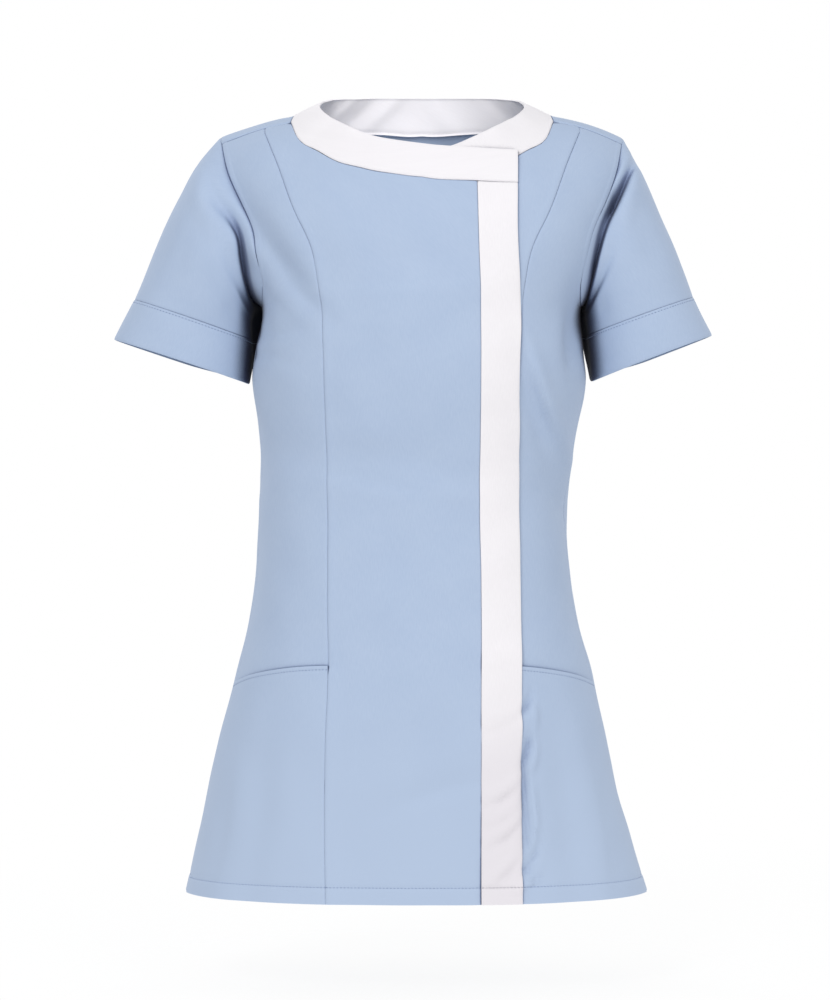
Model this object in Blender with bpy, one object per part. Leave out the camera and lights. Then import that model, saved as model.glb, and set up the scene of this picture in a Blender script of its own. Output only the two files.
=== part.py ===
"""A crossover medical tunic, filled out as if worn, with nobody in it.

Metres, +Z up, the front faces -Y and the wearer's left is at +X. The origin lies between the two points
where the shoulder seams meet the neckband, which is where the tunic is held when it is worn.

Every panel is cut from one body surface. Its angle goes round the body in degrees: 0 is the front centre,
90 the wearer's left side, 180 the back centre and 270 (or -90) the right side. Its rise goes up: -1 is the
hem, 0 the underarm and 1 the ridge of the shoulders, past which it goes down the other side.
"""

from collections import namedtuple

import bmesh
import bpy
import numpy as np

# Cloth: thickness of each wall, the gap at every seam, and how far the crossed-over layer stands off
WALL = 0.0012
BAND_WALL = 0.0015
CUFF_WALL = 0.0017
SEAM_GAP = 0.0004
OVER_LIFT = 0.0025
POCKET_LIFT = WALL + 0.0004
BAND_OVER_POCKET = POCKET_LIFT + WALL + 0.0007
POCKET_SLOPE_WIDTH = 0.012
POCKET_SLOPE_HEIGHT = 0.028

# Heights that divide the body
HEM = -0.716
CHEST = -0.176
SIDE_DEPTH = 0.002
RIDGE_DEPTH = 0.004
NECK_LEAN = 0.0065

# Roundness of a cross-section: 2 is an ellipse
ROUND = 2.4

# The shoulder line falls from the neck point with a slope and a bow
NECK_POINT = 0.1214
RIDGE_SLOPE = 0.18
RIDGE_BOW = 2.15

# The shoulder seam lies this far in front of the ridge, in degrees round the armhole
SEAM_TURN = 15.3
FRONT_TOP = 1 - SEAM_TURN / 180
BACK_TOP = 1 + SEAM_TURN / 180

# The side seam moves this far to the front of the side, over this height below the underarm
SIDE_SEAM_TURN = 10.0
SIDE_SEAM_BLEND = 0.08

# The under front ends this far from the centre line, and the over front rises across this width
UNDER_EDGE = 0.015
OVER_START = -0.062
OVER_FULL = -0.004

# Mesh density
LOWER_ROWS = 18
UPPER_ROWS = 13
SLEEVE_STOPS = (0, 0.03, 0.06, 0.10, 0.16, 0.25, 0.37, 0.52, 0.68, 0.84, 1)
CUFF_ROWS = 2
NECKBAND_ROWS = 2
SIDE_COLUMNS = 6

# Half the body's width, and its depth at the centre of the front and the back
Width = namedtuple("Width", "height across")
WIDTH = (
    Width(-0.716, 0.2135),
    Width(-0.690, 0.2069),
    Width(-0.634, 0.1925),
    Width(-0.578, 0.1804),
    Width(-0.522, 0.1665),
    Width(-0.467, 0.1525),
    Width(-0.411, 0.1450),
    Width(-0.355, 0.1432),
    Width(-0.313, 0.1446),
    Width(-0.285, 0.1488),
    Width(-0.257, 0.1535),
    Width(-0.243, 0.1545),
    Width(-0.215, 0.1520),
    Width(-0.176, 0.1485),
    Width(-0.150, 0.1570),
    Width(-0.118, 0.1725),
    Width(-0.085, 0.1850),
    Width(-0.052, 0.1910),
    Width(-0.0208, 0.1912),
)
Depth = namedtuple("Depth", "height front back")
DEPTH = (
    Depth(-0.716, -0.1250, 0.125),
    Depth(-0.634, -0.1230, 0.120),
    Depth(-0.578, -0.1220, 0.116),
    Depth(-0.522, -0.1210, 0.110),
    Depth(-0.467, -0.1180, 0.099),
    Depth(-0.411, -0.1150, 0.085),
    Depth(-0.355, -0.1145, 0.077),
    Depth(-0.313, -0.1190, 0.080),
    Depth(-0.285, -0.1240, 0.088),
    Depth(-0.257, -0.1290, 0.097),
    Depth(-0.215, -0.1325, 0.106),
    Depth(-0.176, -0.1325, 0.107),
)

# How far the garment's middle stands from the centre line at each height
Lean = namedtuple("Lean", "height across")
LEAN = (
    Lean(-0.716, 0.001),
    Lean(-0.690, 0.000),
    Lean(-0.606, -0.0023),
    Lean(-0.500, -0.001),
    Lean(-0.439, -0.0022),
    Lean(-0.383, -0.0016),
    Lean(-0.355, -0.0014),
    Lean(-0.285, 0.0028),
    Lean(-0.257, 0.0037),
    Lean(-0.150, 0.006),
    Lean(0.000, NECK_LEAN),
)

# The armhole, from the shoulder tip down its front to the underarm (turn 180) and up its back
Armhole = namedtuple("Armhole", "turn across height")
ARMHOLE = (
    Armhole(0, 0.1865, -0.0208),
    Armhole(38, 0.1792, -0.052),
    Armhole(72, 0.1680, -0.085),
    Armhole(104, 0.1540, -0.118),
    Armhole(139, 0.1450, -0.153),
    Armhole(180, 0.1473, CHEST),
    Armhole(223, 0.149, -0.150),
    Armhole(259, 0.160, -0.112),
    Armhole(295, 0.175, -0.075),
    Armhole(328, 0.184, -0.045),
)
TIP = ARMHOLE[0]

# Front princess seam, measured from the garment's middle
Seam = namedtuple("Seam", "height across")
PRINCESS = (
    Seam(-0.712, 0.0804),
    Seam(-0.498, 0.0766),
    Seam(-0.355, 0.0775),
    Seam(-0.264, 0.0843),
    Seam(-0.213, 0.0869),
    Seam(-0.164, 0.092),
    Seam(-0.129, 0.099),
    Seam(-0.095, 0.1146),
    Seam(-0.049, 0.1318),
    Seam(-0.018, 0.1445),
)

# The two long edges of the placket band, from the centre line
Placket = namedtuple("Placket", "height inner outer")
PLACKET = (
    Placket(-0.716, 0.0589, 0.0953),
    Placket(-0.535, 0.0588, 0.0944),
    Placket(-0.445, 0.0587, 0.0937),
    Placket(-0.355, 0.0573, 0.0922),
    Placket(-0.270, 0.0580, 0.0928),
    Placket(-0.165, 0.0578, 0.0925),
    Placket(-0.110, 0.0562, 0.0912),
    Placket(-0.070, 0.0555, 0.0914),
)

# The neckband: where its lower edge is sewn to the body, and its upper edge, from the garment's middle
Neck = namedtuple("Neck", "across height top_across top_depth top_height")
UNDER_NECK = (
    Neck(0.0095, -0.0660, 0.0000, -0.0880, -0.0390),
    Neck(0.0344, -0.0619, 0.0235, -0.0850, -0.0362),
    Neck(0.0570, -0.0559, 0.0470, -0.0785, -0.0262),
)
SIDE_OF_NECK = (
    Neck(0.0769, -0.0498, 0.0645, -0.071, -0.0170),
    Neck(0.0962, -0.0379, 0.0765, -0.057, -0.0098),
    Neck(0.1073, -0.0317, 0.0845, -0.048, -0.0047),
    Neck(0.1149, -0.0225, 0.0905, -0.036, 0.0012),
)
NECK_CORNER = Neck(0.1206, None, 0.0945, -0.012, 0.0085)
BACK_NECK = (
    Neck(0.1165, None, 0.0930, 0.004, 0.0140),
    Neck(0.1080, -0.0030, 0.0885, 0.019, 0.0180),
    Neck(0.0940, -0.0065, 0.0780, 0.031, 0.0212),
    Neck(0.0680, -0.0085, 0.0570, 0.040, 0.0230),
    Neck(0.0360, -0.0095, 0.0300, 0.048, 0.0242),
    Neck(0.0000, -0.0100, 0.0000, 0.0525, 0.0247),
)
OVER_NECK = (
    Neck(-0.0570, -0.0559, -0.0490, -0.0800, -0.0245),
    Neck(-0.0344, -0.0619, -0.0285, -0.0875, -0.0304),
    Neck(0.0043, -0.0680, 0.0080, -0.0925, -0.0364),
    Neck(0.0490, -0.0701, 0.0505, -0.0900, -0.0387),
    Neck(0.0850, -0.0715, 0.0857, -0.0830, -0.0401),
)

# Sleeve sections, from the centre line: the highest and the lowest point, the depth to front and back,
# and how far the cloth behind the underarm swings in towards the body
Ring = namedtuple("Ring", "reach top_across top_height low_across low_height front back swing")
RIGHT_SLEEVE = (
    Ring(0.15, 0.2000, -0.0400, 0.1478, -0.1775, 0.064, 0.066, 0.012),
    Ring(0.40, 0.2204, -0.0760, 0.1516, -0.1860, 0.062, 0.064, 0.020),
    Ring(0.70, 0.2410, -0.1220, 0.1522, -0.1960, 0.056, 0.058, 0.020),
    Ring(1.00, 0.2613, -0.1690, 0.1515, -0.2071, 0.049, 0.051, 0.018),
)
RIGHT_CUFF = Ring(1.0, 0.2790, -0.2062, 0.1550, -0.2470, 0.047, 0.049, 0.008)
LEFT_SLEEVE = (
    Ring(0.15, 0.2050, -0.0385, 0.1578, -0.1785, 0.064, 0.066, 0.010),
    Ring(0.40, 0.2205, -0.0730, 0.1590, -0.1860, 0.063, 0.065, 0.016),
    Ring(0.70, 0.2390, -0.1150, 0.1600, -0.1940, 0.059, 0.061, 0.016),
    Ring(1.00, 0.2585, -0.1671, 0.1605, -0.2025, 0.054, 0.056, 0.014),
)
LEFT_CUFF = Ring(1.0, 0.2753, -0.2025, 0.1650, -0.2445, 0.052, 0.054, 0.010)
SLEEVE_DEPTH = 0.002
CUFF_PROUD = 0.0005

# Pocket mouths, from the princess seam to the side seam
MOUTH_TOP = -0.5035
MOUTH_DROP = 0.0205
MOUTH_BEND = 1.6
POCKET_ROWS = 7

# Largest soft folds: where each lies from the centre line, its half length and half width, how far its
# run is turned from level in degrees, and how far it stands out (or in, where it is negative)
Fold = namedtuple("Fold", "across height run width tilt out")
# Folds fade out below this rise, and towards the sides (where the share is 1)
FOLD_END, FOLD_FADE = 0.75, 0.4
FOLD_SIDE, FOLD_SIDE_FADE = 1.1, 0.3
FRONT_FOLDS = (
    Fold(-0.128, -0.118, 0.065, 0.013, -58, -0.0030),
    Fold(-0.105, -0.135, 0.070, 0.014, -56, 0.0022),
    Fold(-0.020, -0.140, 0.090, 0.016, 3, -0.0018),
    Fold(-0.015, -0.322, 0.075, 0.017, -8, -0.0024),
    Fold(0.111, -0.287, 0.055, 0.009, -71, -0.0034),
    Fold(0.127, -0.283, 0.055, 0.009, -71, 0.0030),
    Fold(0.120, -0.345, 0.050, 0.012, -50, -0.0026),
    Fold(0.1440, -0.208, 0.034, 0.009, 88, -0.0080),
    Fold(-0.140, -0.640, 0.090, 0.016, 84, -0.0032),
    Fold(0.135, -0.635, 0.100, 0.016, 97, -0.0034),
    Fold(0.020, -0.600, 0.110, 0.022, 88, -0.0022),
)
BACK_FOLDS = (
    Fold(0.020, -0.340, 0.100, 0.014, 4, -0.0040),
    Fold(-0.025, -0.372, 0.090, 0.013, -5, 0.0030),
    Fold(0.105, -0.150, 0.070, 0.014, 55, -0.0028),
    Fold(-0.110, -0.155, 0.065, 0.014, -58, -0.0030),
    Fold(0.090, -0.600, 0.120, 0.020, 86, -0.0040),
    Fold(-0.070, -0.610, 0.115, 0.021, 94, -0.0044),
)

# Sleeve folds: turn and reach of the middle, their half spans, and how far each stands out
SleeveFold = namedtuple("SleeveFold", "turn reach turn_span reach_span out")
RIGHT_SLEEVE_FOLDS = (SleeveFold(300, 0.20, 24, 0.20, -0.0040),)
LEFT_SLEEVE_FOLDS = (SleeveFold(295, 0.20, 24, 0.20, -0.0045),)
# The deep tuck that each sleeve makes beside its armhole: where it lies at each turn, its half span, and
# its depth. It drops from the armhole over TUCK_START of the reach, and is steeper on that side
TUCK_START = 0.02
STEEPER = 0.5
Tuck = namedtuple("Tuck", "turn reach span out")
RIGHT_TUCK = (
    Tuck(0, 0.13, 0.09, 0.0),
    Tuck(40, 0.13, 0.09, -0.0010),
    Tuck(62, 0.12, 0.09, -0.0055),
    Tuck(80, 0.06, 0.06, -0.0080),
    Tuck(95, 0.03, 0.05, -0.0130),
    Tuck(115, 0.03, 0.07, -0.0190),
    Tuck(140, 0.03, 0.09, -0.0210),
    Tuck(160, 0.03, 0.10, -0.0170),
    Tuck(182, 0.03, 0.10, -0.0080),
    Tuck(215, 0.03, 0.09, 0.0),
    Tuck(360, 0.03, 0.09, 0.0),
)
LEFT_TUCK = (
    Tuck(0, 0.14, 0.055, 0.0),
    Tuck(19, 0.13, 0.055, -0.0050),
    Tuck(35, 0.10, 0.060, -0.0095),
    Tuck(52, 0.07, 0.065, -0.0135),
    Tuck(68, 0.04, 0.060, -0.0150),
    Tuck(85, 0.025, 0.050, -0.0110),
    Tuck(110, 0.025, 0.055, -0.0150),
    Tuck(140, 0.025, 0.075, -0.0170),
    Tuck(160, 0.025, 0.080, -0.0140),
    Tuck(182, 0.025, 0.080, -0.0070),
    Tuck(215, 0.025, 0.080, 0.0),
    Tuck(360, 0.025, 0.080, 0.0),
)

Cloth = namedtuple("Cloth", "name colour roughness")
BLUE_TWILL = Cloth("pale_blue_twill", (0.44, 0.53, 0.69), 0.85)
WHITE_TWILL = Cloth("white_twill", (0.86, 0.85, 0.87), 0.80)


def unit(vectors):
    return vectors / np.linalg.norm(vectors, axis=-1, keepdims=True)


def ease(share):
    """A share from 0 to 1 with soft ends."""
    share = np.clip(share, 0.0, 1.0)
    return share * share * (3 - 2 * share)


def smooth(keys, values, at):
    """A smooth curve through values at the keys. Values may hold a column for each place asked for."""
    keys = np.asarray(keys, float)
    values = np.asarray(values, float)
    slopes = np.gradient(values, keys, axis=0)
    first = np.clip(np.searchsorted(keys, at, side="right") - 1, 0, len(keys) - 2)
    step = keys[first + 1] - keys[first]
    share = np.clip((at - keys[first]) / step, 0.0, 1.0)
    if values.ndim == 1:
        start, end = values[first], values[first + 1]
        leave, arrive = slopes[first] * step, slopes[first + 1] * step
    else:
        each = np.arange(values.shape[1])
        start, end = values[first, each], values[first + 1, each]
        leave, arrive = slopes[first, each] * step[:, None], slopes[first + 1, each] * step[:, None]
        share = share[:, None]
    square, cube = share**2, share**3
    return (
        (2 * cube - 3 * square + 1) * start
        + (cube - 2 * square + share) * leave
        + (3 * square - 2 * cube) * end
        + (cube - square) * arrive
    )


def read(table, column, at):
    """A column of a table as a smooth curve along the table's first column."""
    return smooth([row[0] for row in table], [getattr(row, column) for row in table], at)


def armhole(column, turn):
    """The armhole's table as a closed curve."""
    turns = [row.turn for row in ARMHOLE]
    values = [getattr(row, column) for row in ARMHOLE]
    turns = [turns[-1] - 360] + turns + [360, turns[1] + 360]
    values = [values[-1]] + values + [values[0], values[1]]
    return smooth(turns, values, turn)


def lean(height):
    return read(LEAN, "across", height)


def ridge(across):
    """Height of the shoulders' ridge."""
    past = across - NECK_POINT
    return -RIDGE_SLOPE * past - RIDGE_BOW * np.maximum(past, 0.0) ** 2


def in_front(angle):
    return np.cos(np.radians(angle)) > -1e-9


def row_height(rise, front):
    """Height of a row where it meets the side seam or the armhole."""
    turn = np.where(front, 180 * (1 - np.maximum(rise, 0)), 180 * (1 + np.maximum(rise, 0)))
    below = CHEST + np.minimum(rise, 0) * (CHEST - HEM)
    return np.where(rise > 0, np.maximum(armhole("height", turn), CHEST), below)


def half_width(rise, front):
    """From the middle to the side of the body, on the wall's inner face."""
    return read(WIDTH, "across", row_height(rise, front)) - WALL


def body(angle, rise):
    """The body surface, which is the inner face of a panel that lies on nothing."""
    angle, rise = np.broadcast_arrays(np.asarray(angle, float), np.asarray(rise, float))
    angle = np.where(rise > 1, 180 - angle, angle)
    rise = np.where(rise > 1, 2 - rise, rise)
    front = in_front(angle)
    sine = np.sin(np.radians(angle))
    row = row_height(rise, front)
    below = np.minimum(row, CHEST)
    climb = np.clip((row - CHEST) / (TIP.height - CHEST), 0.0, 1.0)
    height = below + (ridge(np.abs(sine) * TIP.across) - CHEST) * climb
    side = SIDE_DEPTH + (RIDGE_DEPTH - SIDE_DEPTH) * climb
    chest = np.where(front, read(DEPTH, "front", below), read(DEPTH, "back", below))
    centre = side + (chest - side) * np.sqrt(1 - climb**2)
    share = (1 - np.minimum(np.abs(sine), 1.0) ** ROUND) ** (1 / ROUND)
    across = lean(height) + half_width(rise, front) * sine
    return np.stack([across, side + (centre - side) * share, height], axis=-1)


def body_directions(angle, rise):
    """At a point of the body surface: outwards, round the body and up it."""
    angle, rise = np.broadcast_arrays(np.asarray(angle, float), np.asarray(rise, float))
    turn_step, rise_step = 2.0, 0.01
    round_it = unit(body(angle + turn_step, rise) - body(angle - turn_step, rise))
    up_it = unit(body(angle, rise + rise_step) - body(angle, rise - rise_step))
    return unit(np.cross(round_it, up_it)), round_it, up_it


def fold_height(points, folds):
    """How far the folds push the cloth out at each point."""
    out = np.zeros(points.shape[:-1])
    for fold in folds:
        tilt = np.radians(fold.tilt)
        across, height = points[..., 0] - fold.across, points[..., 2] - fold.height
        along = across * np.cos(tilt) + height * np.sin(tilt)
        aside = height * np.cos(tilt) - across * np.sin(tilt)
        out += fold.out * np.exp(-((along / fold.run) ** 2) - (aside / fold.width) ** 2)
    return out


def over_lift(points):
    """The over front stands off the under front where the two cross."""
    across = points[..., 0] - NECK_LEAN
    return OVER_LIFT * ease((across - OVER_START) / (OVER_FULL - OVER_START))


def band_lift(points):
    """The placket band also clears the pocket that passes under its lower end."""
    across, height = points[..., 0], points[..., 2]
    past_seam = ease((across - PLACKET[0].inner) / POCKET_SLOPE_WIDTH)
    below_mouth = ease((MOUTH_TOP + POCKET_SLOPE_HEIGHT - height) / POCKET_SLOPE_HEIGHT)
    return OVER_LIFT + (BAND_OVER_POCKET - OVER_LIFT) * past_seam * below_mouth


def no_lift(points):
    return np.zeros(points.shape[:-1])


def pocket_lift(points):
    return np.full(points.shape[:-1], POCKET_LIFT)


def body_skin(angle, rise, lift, thickness):
    """A point of a piece on the body: lifted off the surface, then out through the piece's own wall."""
    base = body(angle, rise)
    out, round_it, up_it = body_directions(angle, rise)
    folds = np.where(in_front(angle), fold_height(base, FRONT_FOLDS), fold_height(base, BACK_FOLDS))
    towards_side = 1 - np.abs(np.cos(np.radians(angle)))
    calm = ease((FOLD_END - rise) / FOLD_FADE) * ease((FOLD_SIDE - towards_side) / FOLD_SIDE_FADE)
    away = lift(base) + folds * calm + thickness
    return base + out * away[..., None], round_it, up_it


def angle_of(across_at, rise):
    """The angle at which a line on the front, given by its distance at each height, crosses this rise."""
    angle = np.full(np.shape(rise), 20.0)
    for _ in range(5):
        height = body(angle, rise)[..., 2]
        sine = (across_at(height) - lean(height)) / half_width(rise, True)
        angle = np.degrees(np.arcsin(np.clip(sine, -1, 1)))
    return angle


def princess(side):
    """The princess seam on one side, as an angle for each rise."""
    return lambda rise: angle_of(lambda height: lean(height) + side * read(PRINCESS, "across", height), rise)


def placket_line(edge):
    return lambda rise: angle_of(lambda height: read(PLACKET, edge, height), rise)


def under_edge(rise):
    return angle_of(lambda height: np.full(np.shape(height), UNDER_EDGE), rise)


def armhole_angle(rise, front):
    """The armhole's angle from the front or the back centre, in the rows above the underarm."""
    turn = np.where(front, 180 * (1 - rise), 180 * (1 + rise))
    sine = armhole("across", turn) / half_width(rise, front)
    return np.degrees(np.arcsin(np.clip(sine, 0, 1)))


def outer_edge(side):
    """The side seam and, above the underarm, the armhole, as an angle for each rise of a side front."""

    def at(rise):
        rise = np.asarray(rise, float)
        below = np.maximum(-rise, 0) * (CHEST - HEM)
        seam = 90 - SIDE_SEAM_TURN * ease(below / SIDE_SEAM_BLEND)
        return side * np.where(rise > 0, armhole_angle(np.maximum(rise, 0), True), seam)

    return at


def back_edge(side):
    """The same edge as the back panel meets it, in angles that run through 180."""

    def at(rise):
        rise = np.asarray(rise, float)
        behind = 180 - armhole_angle(np.clip(rise, 0, 1), False)
        over_ridge = 180 - armhole_angle(np.clip(2 - rise, 0, 1), True)
        angle = np.where(rise > 1, over_ridge, np.where(rise > 0, behind, outer_edge(1)(rise)))
        return angle if side > 0 else 360 - angle

    return at


def seat(across, height, back):
    """(angle, rise) of the neckline's point at this distance and height."""
    low, high = 0.3, 1.0
    for _ in range(40):
        rise = (low + high) / 2
        sine = across / float(half_width(np.array(rise), not back))
        angle = np.degrees(np.arcsin(sine))
        angle = 180 - angle if back else angle
        low, high = (rise, high) if body(angle, rise)[2] < height else (low, rise)
    return angle, rise


def mirrored(station):
    return station._replace(across=-station.across, top_across=-station.top_across)


def neck_stretches():
    """The neckline in three stretches, each a list of (station, angle, rise): under front, back, over front.

    The under front and the back start at the wearer's left, and the over front at the right.
    """
    corner = float(np.degrees(np.arcsin(NECK_CORNER.across / half_width(np.array(FRONT_TOP), True))))
    crest = 180 - float(np.degrees(np.arcsin(BACK_NECK[0].across / half_width(np.array(1.0), True))))
    left_corner = (NECK_CORNER, corner, FRONT_TOP)
    right_corner = (mirrored(NECK_CORNER), -corner, FRONT_TOP)
    under = [(row, *seat(row.across, row.height, False)) for row in UNDER_NECK + SIDE_OF_NECK]
    over_rows = [mirrored(row) for row in reversed(SIDE_OF_NECK)] + list(OVER_NECK)
    over = [(row, *seat(row.across, row.height, False)) for row in over_rows]
    left_back = [(BACK_NECK[0], crest, 1.0)]
    left_back += [(row, *seat(row.across, row.height, True)) for row in BACK_NECK[1:]]
    right_back = [(mirrored(row), 360 - angle, rise) for row, angle, rise in reversed(left_back[:-1])]
    back = [(NECK_CORNER, 180 - corner, BACK_TOP)] + left_back + right_back
    back.append((mirrored(NECK_CORNER), 180 + corner, BACK_TOP))
    return under + [left_corner], back, [right_corner] + over


UNDER_STRETCH, BACK_STRETCH, OVER_STRETCH = neck_stretches()
# Where the panels' columns and the neckband's meet along each stretch, counted in stations
UNDER_STOPS = (0, 1, 2, 3, 4, 4.5, 5, 5.5, 6, 6.5, 7)
BACK_STOPS = (0, 0.3, 0.6, 1, 1.5, 2, 3, 4, 5, 6, 7, 8, 9, 10, 10.5, 11, 11.4, 11.7, 12)
OVER_STOPS = (0, 0.5, 1, 1.5, 2, 2.5, 3, 4, 5, 6, 7, 8, 8.5, 9)


def along_stretch(stretch, at):
    """Angle and rise at a place along a stretch of the neckline, counted in stations."""
    stations = np.arange(len(stretch))
    return (
        smooth(stations, [angle for _, angle, _ in stretch], at),
        smooth(stations, [rise for _, _, rise in stretch], at),
    )


def line_top(points):
    """The top edge of a panel as a function of the share of its length, through (angle, rise) points."""
    angles, rises = np.array(points).T
    places = body(angles, rises)
    lengths = np.concatenate([[0], np.cumsum(np.linalg.norm(np.diff(places, axis=0), axis=1))])
    shares = lengths / lengths[-1]
    return (lambda share: (np.interp(share, shares, angles), np.interp(share, shares, rises))), shares


def make_material(cloth):
    material = bpy.data.materials.new(cloth.name)
    material.use_nodes = True
    shader = material.node_tree.nodes["Principled BSDF"]
    shader.inputs["Base Color"].default_value = (*cloth.colour, 1)
    shader.inputs["Roughness"].default_value = cloth.roughness
    shader.inputs["Metallic"].default_value = 0.0
    return material


def sew(name, columns, rows, place, cloth, collection, tube=False):
    """A piece of cloth: a grid placed on its inner face, extruded into its outer face.

    The place function takes shares across and up the piece, and 0 for the inner face or 1 for the outer.
    Both faces keep the same triangles, so that the wall is as thick everywhere.
    """
    mesh = bmesh.new()
    bmesh.ops.create_grid(mesh, x_segments=columns, y_segments=rows, size=0.5)
    flat = mesh.verts.layers.float_vector.new("flat")
    for vert in mesh.verts:
        vert[flat] = vert.co

    def move(verts, face):
        cut = np.array([vert[flat][:2] for vert in verts]) + 0.5
        for vert, point in zip(verts, place(cut[:, 0], cut[:, 1], face)):
            vert.co = point

    move(mesh.verts[:], 0)
    if tube:
        bmesh.ops.remove_doubles(mesh, verts=mesh.verts[:], dist=1e-6)
    bmesh.ops.triangulate(mesh, faces=mesh.faces[:], quad_method="SHORT_EDGE")
    grown = bmesh.ops.extrude_face_region(mesh, geom=mesh.faces[:])["geom"]
    move([item for item in grown if isinstance(item, bmesh.types.BMVert)], 1)
    bmesh.ops.recalc_face_normals(mesh, faces=mesh.faces[:])
    data = bpy.data.meshes.new(name)
    mesh.to_mesh(data)
    mesh.free()
    data.shade_smooth()
    data.set_sharp_from_angle(angle=np.radians(50))
    data.materials.append(bpy.data.materials.get(cloth.name) or make_material(cloth))
    piece = bpy.data.objects.new(name, data)
    collection.objects.link(piece)
    return piece


def spread(shares):
    """Turns even shares into the given uneven ones."""
    even = np.linspace(0, 1, len(shares))
    return lambda share: np.interp(share, even, shares)


def panel_place(left, right, top, column_shares, lift, wall, rows=(LOWER_ROWS, UPPER_ROWS)):
    """Places a panel between two seam lines, from the hem to its top edge."""
    lower_rows, upper_rows = rows
    across_share = spread(column_shares)

    def place(u, v, face):
        share = across_share(u)
        row = v * (lower_rows + upper_rows) - lower_rows
        top_angle, top_rise = top(share)
        climb = np.maximum(row, 0) / upper_rows
        rise = np.where(row < 0, row / lower_rows, climb * top_rise)
        rise = np.where(np.abs(rise) < 1e-6, 0.0, rise)
        top_left, top_right = left(top_rise), right(top_rise)
        top_share = np.clip((top_angle - top_left) / (top_right - top_left), 0, 1)
        across = share + (top_share - share) * climb
        angle = left(rise) + (right(rise) - left(rise)) * across
        points, round_it, up_it = body_skin(angle, rise, lift, wall * face)
        inset = np.where(u < 1e-6, 1, 0) - np.where(u > 1 - 1e-6, 1, 0)
        drop = np.where(v > 1 - 1e-6, 1, 0)
        return points + (round_it * inset[:, None] - up_it * drop[:, None]) * SEAM_GAP / 2

    return place


def level_top(left, right):
    """The shoulder seam between two seam lines."""
    start, end = float(left(np.array(FRONT_TOP))), float(right(np.array(FRONT_TOP)))
    return lambda share: (start + (end - start) * share, np.full(np.shape(share), FRONT_TOP))


def side_front_place(side):
    inner, outer = princess(side), outer_edge(side)
    left, right = (inner, outer) if side > 0 else (outer, inner)
    shares = np.linspace(0, 1, SIDE_COLUMNS + 1)
    return panel_place(left, right, level_top(left, right), shares, no_lift, WALL)


def front_under_place():
    points = [along_stretch(UNDER_STRETCH, np.array(stop)) for stop in UNDER_STOPS]
    points.append((float(princess(1)(np.array(FRONT_TOP))), FRONT_TOP))
    top, shares = line_top(points)
    return panel_place(under_edge, princess(1), top, shares, no_lift, WALL), len(points) - 1


def front_over_place():
    points = [(float(princess(-1)(np.array(FRONT_TOP))), FRONT_TOP)]
    points += [along_stretch(OVER_STRETCH, np.array(stop)) for stop in OVER_STOPS[:-2]]
    top, shares = line_top(points)
    return panel_place(princess(-1), placket_line("inner"), top, shares, over_lift, WALL), len(points) - 1


def placket_place():
    points = [along_stretch(OVER_STRETCH, np.array(stop)) for stop in OVER_STOPS[-3:]]
    top, shares = line_top(points)
    place = panel_place(placket_line("inner"), placket_line("outer"), top, shares, band_lift, BAND_WALL)
    return place, len(points) - 1


def back_place():
    seam_rise = np.array(FRONT_TOP)
    start, end = float(princess(1)(seam_rise)), float(outer_edge(1)(seam_rise))
    shoulder = np.linspace(end, start, SIDE_COLUMNS + 1)
    left = [(180 - angle, BACK_TOP) for angle in shoulder]
    neck = [along_stretch(BACK_STRETCH, np.array(stop)) for stop in BACK_STOPS]
    right = [(360 - angle, rise) for angle, rise in reversed(left)]
    top, shares = line_top(left + neck + right)
    return panel_place(back_edge(1), back_edge(-1), top, shares, no_lift, WALL), len(shares) - 1


def pocket_place(side):
    """A pocket lies on the lower side front, from the same lines, up to its slanted mouth."""
    inner, outer = princess(side), outer_edge(side)
    left, right = (inner, outer) if side > 0 else (outer, inner)

    def place(u, v, face):
        from_princess = u if side > 0 else 1 - u
        mouth = MOUTH_TOP - MOUTH_DROP * from_princess**MOUTH_BEND
        mouth_rise = (mouth - CHEST) / (CHEST - HEM)
        row = v * POCKET_ROWS
        last_full = POCKET_ROWS - 1
        full_rise = -1 + np.minimum(row, last_full) / LOWER_ROWS
        rise = full_rise + (mouth_rise - full_rise) * np.clip(row - last_full, 0, 1)
        angle = left(rise) + (right(rise) - left(rise)) * u
        points, round_it, _ = body_skin(angle, rise, pocket_lift, WALL * face)
        inset = np.where(u < 1e-6, 1, 0) - np.where(u > 1 - 1e-6, 1, 0)
        return points + round_it * inset[:, None] * SEAM_GAP / 2

    return place


def neck_strip(at, height_share):
    """The neckband's own surface between its sewn edge and its free edge, before it is lifted."""
    stretches = (UNDER_STRETCH, BACK_STRETCH, OVER_STRETCH)
    ends = np.cumsum([0] + [len(stretch) - 1 for stretch in stretches])
    low = np.zeros(at.shape + (3,))
    out = np.zeros(at.shape + (3,))
    lift = np.zeros(at.shape)
    for number, stretch in enumerate(stretches):
        inside = (at >= ends[number]) & (at <= ends[number + 1])
        angle, rise = along_stretch(stretch, at[inside] - ends[number])
        low[inside] = body(angle, rise)
        out[inside] = body_directions(angle, rise)[0]
        if stretch is OVER_STRETCH:
            lift[inside] = over_lift(low[inside])
    rows = [row for row, _, _ in UNDER_STRETCH + BACK_STRETCH[1:] + OVER_STRETCH[1:]]
    stations = np.arange(len(rows))
    high = np.stack(
        [
            NECK_LEAN + smooth(stations, [row.top_across for row in rows], at),
            smooth(stations, [row.top_depth for row in rows], at),
            smooth(stations, [row.top_height for row in rows], at),
        ],
        axis=-1,
    )
    return low + (high - low) * height_share[:, None], unit(high - low), out, lift


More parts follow.
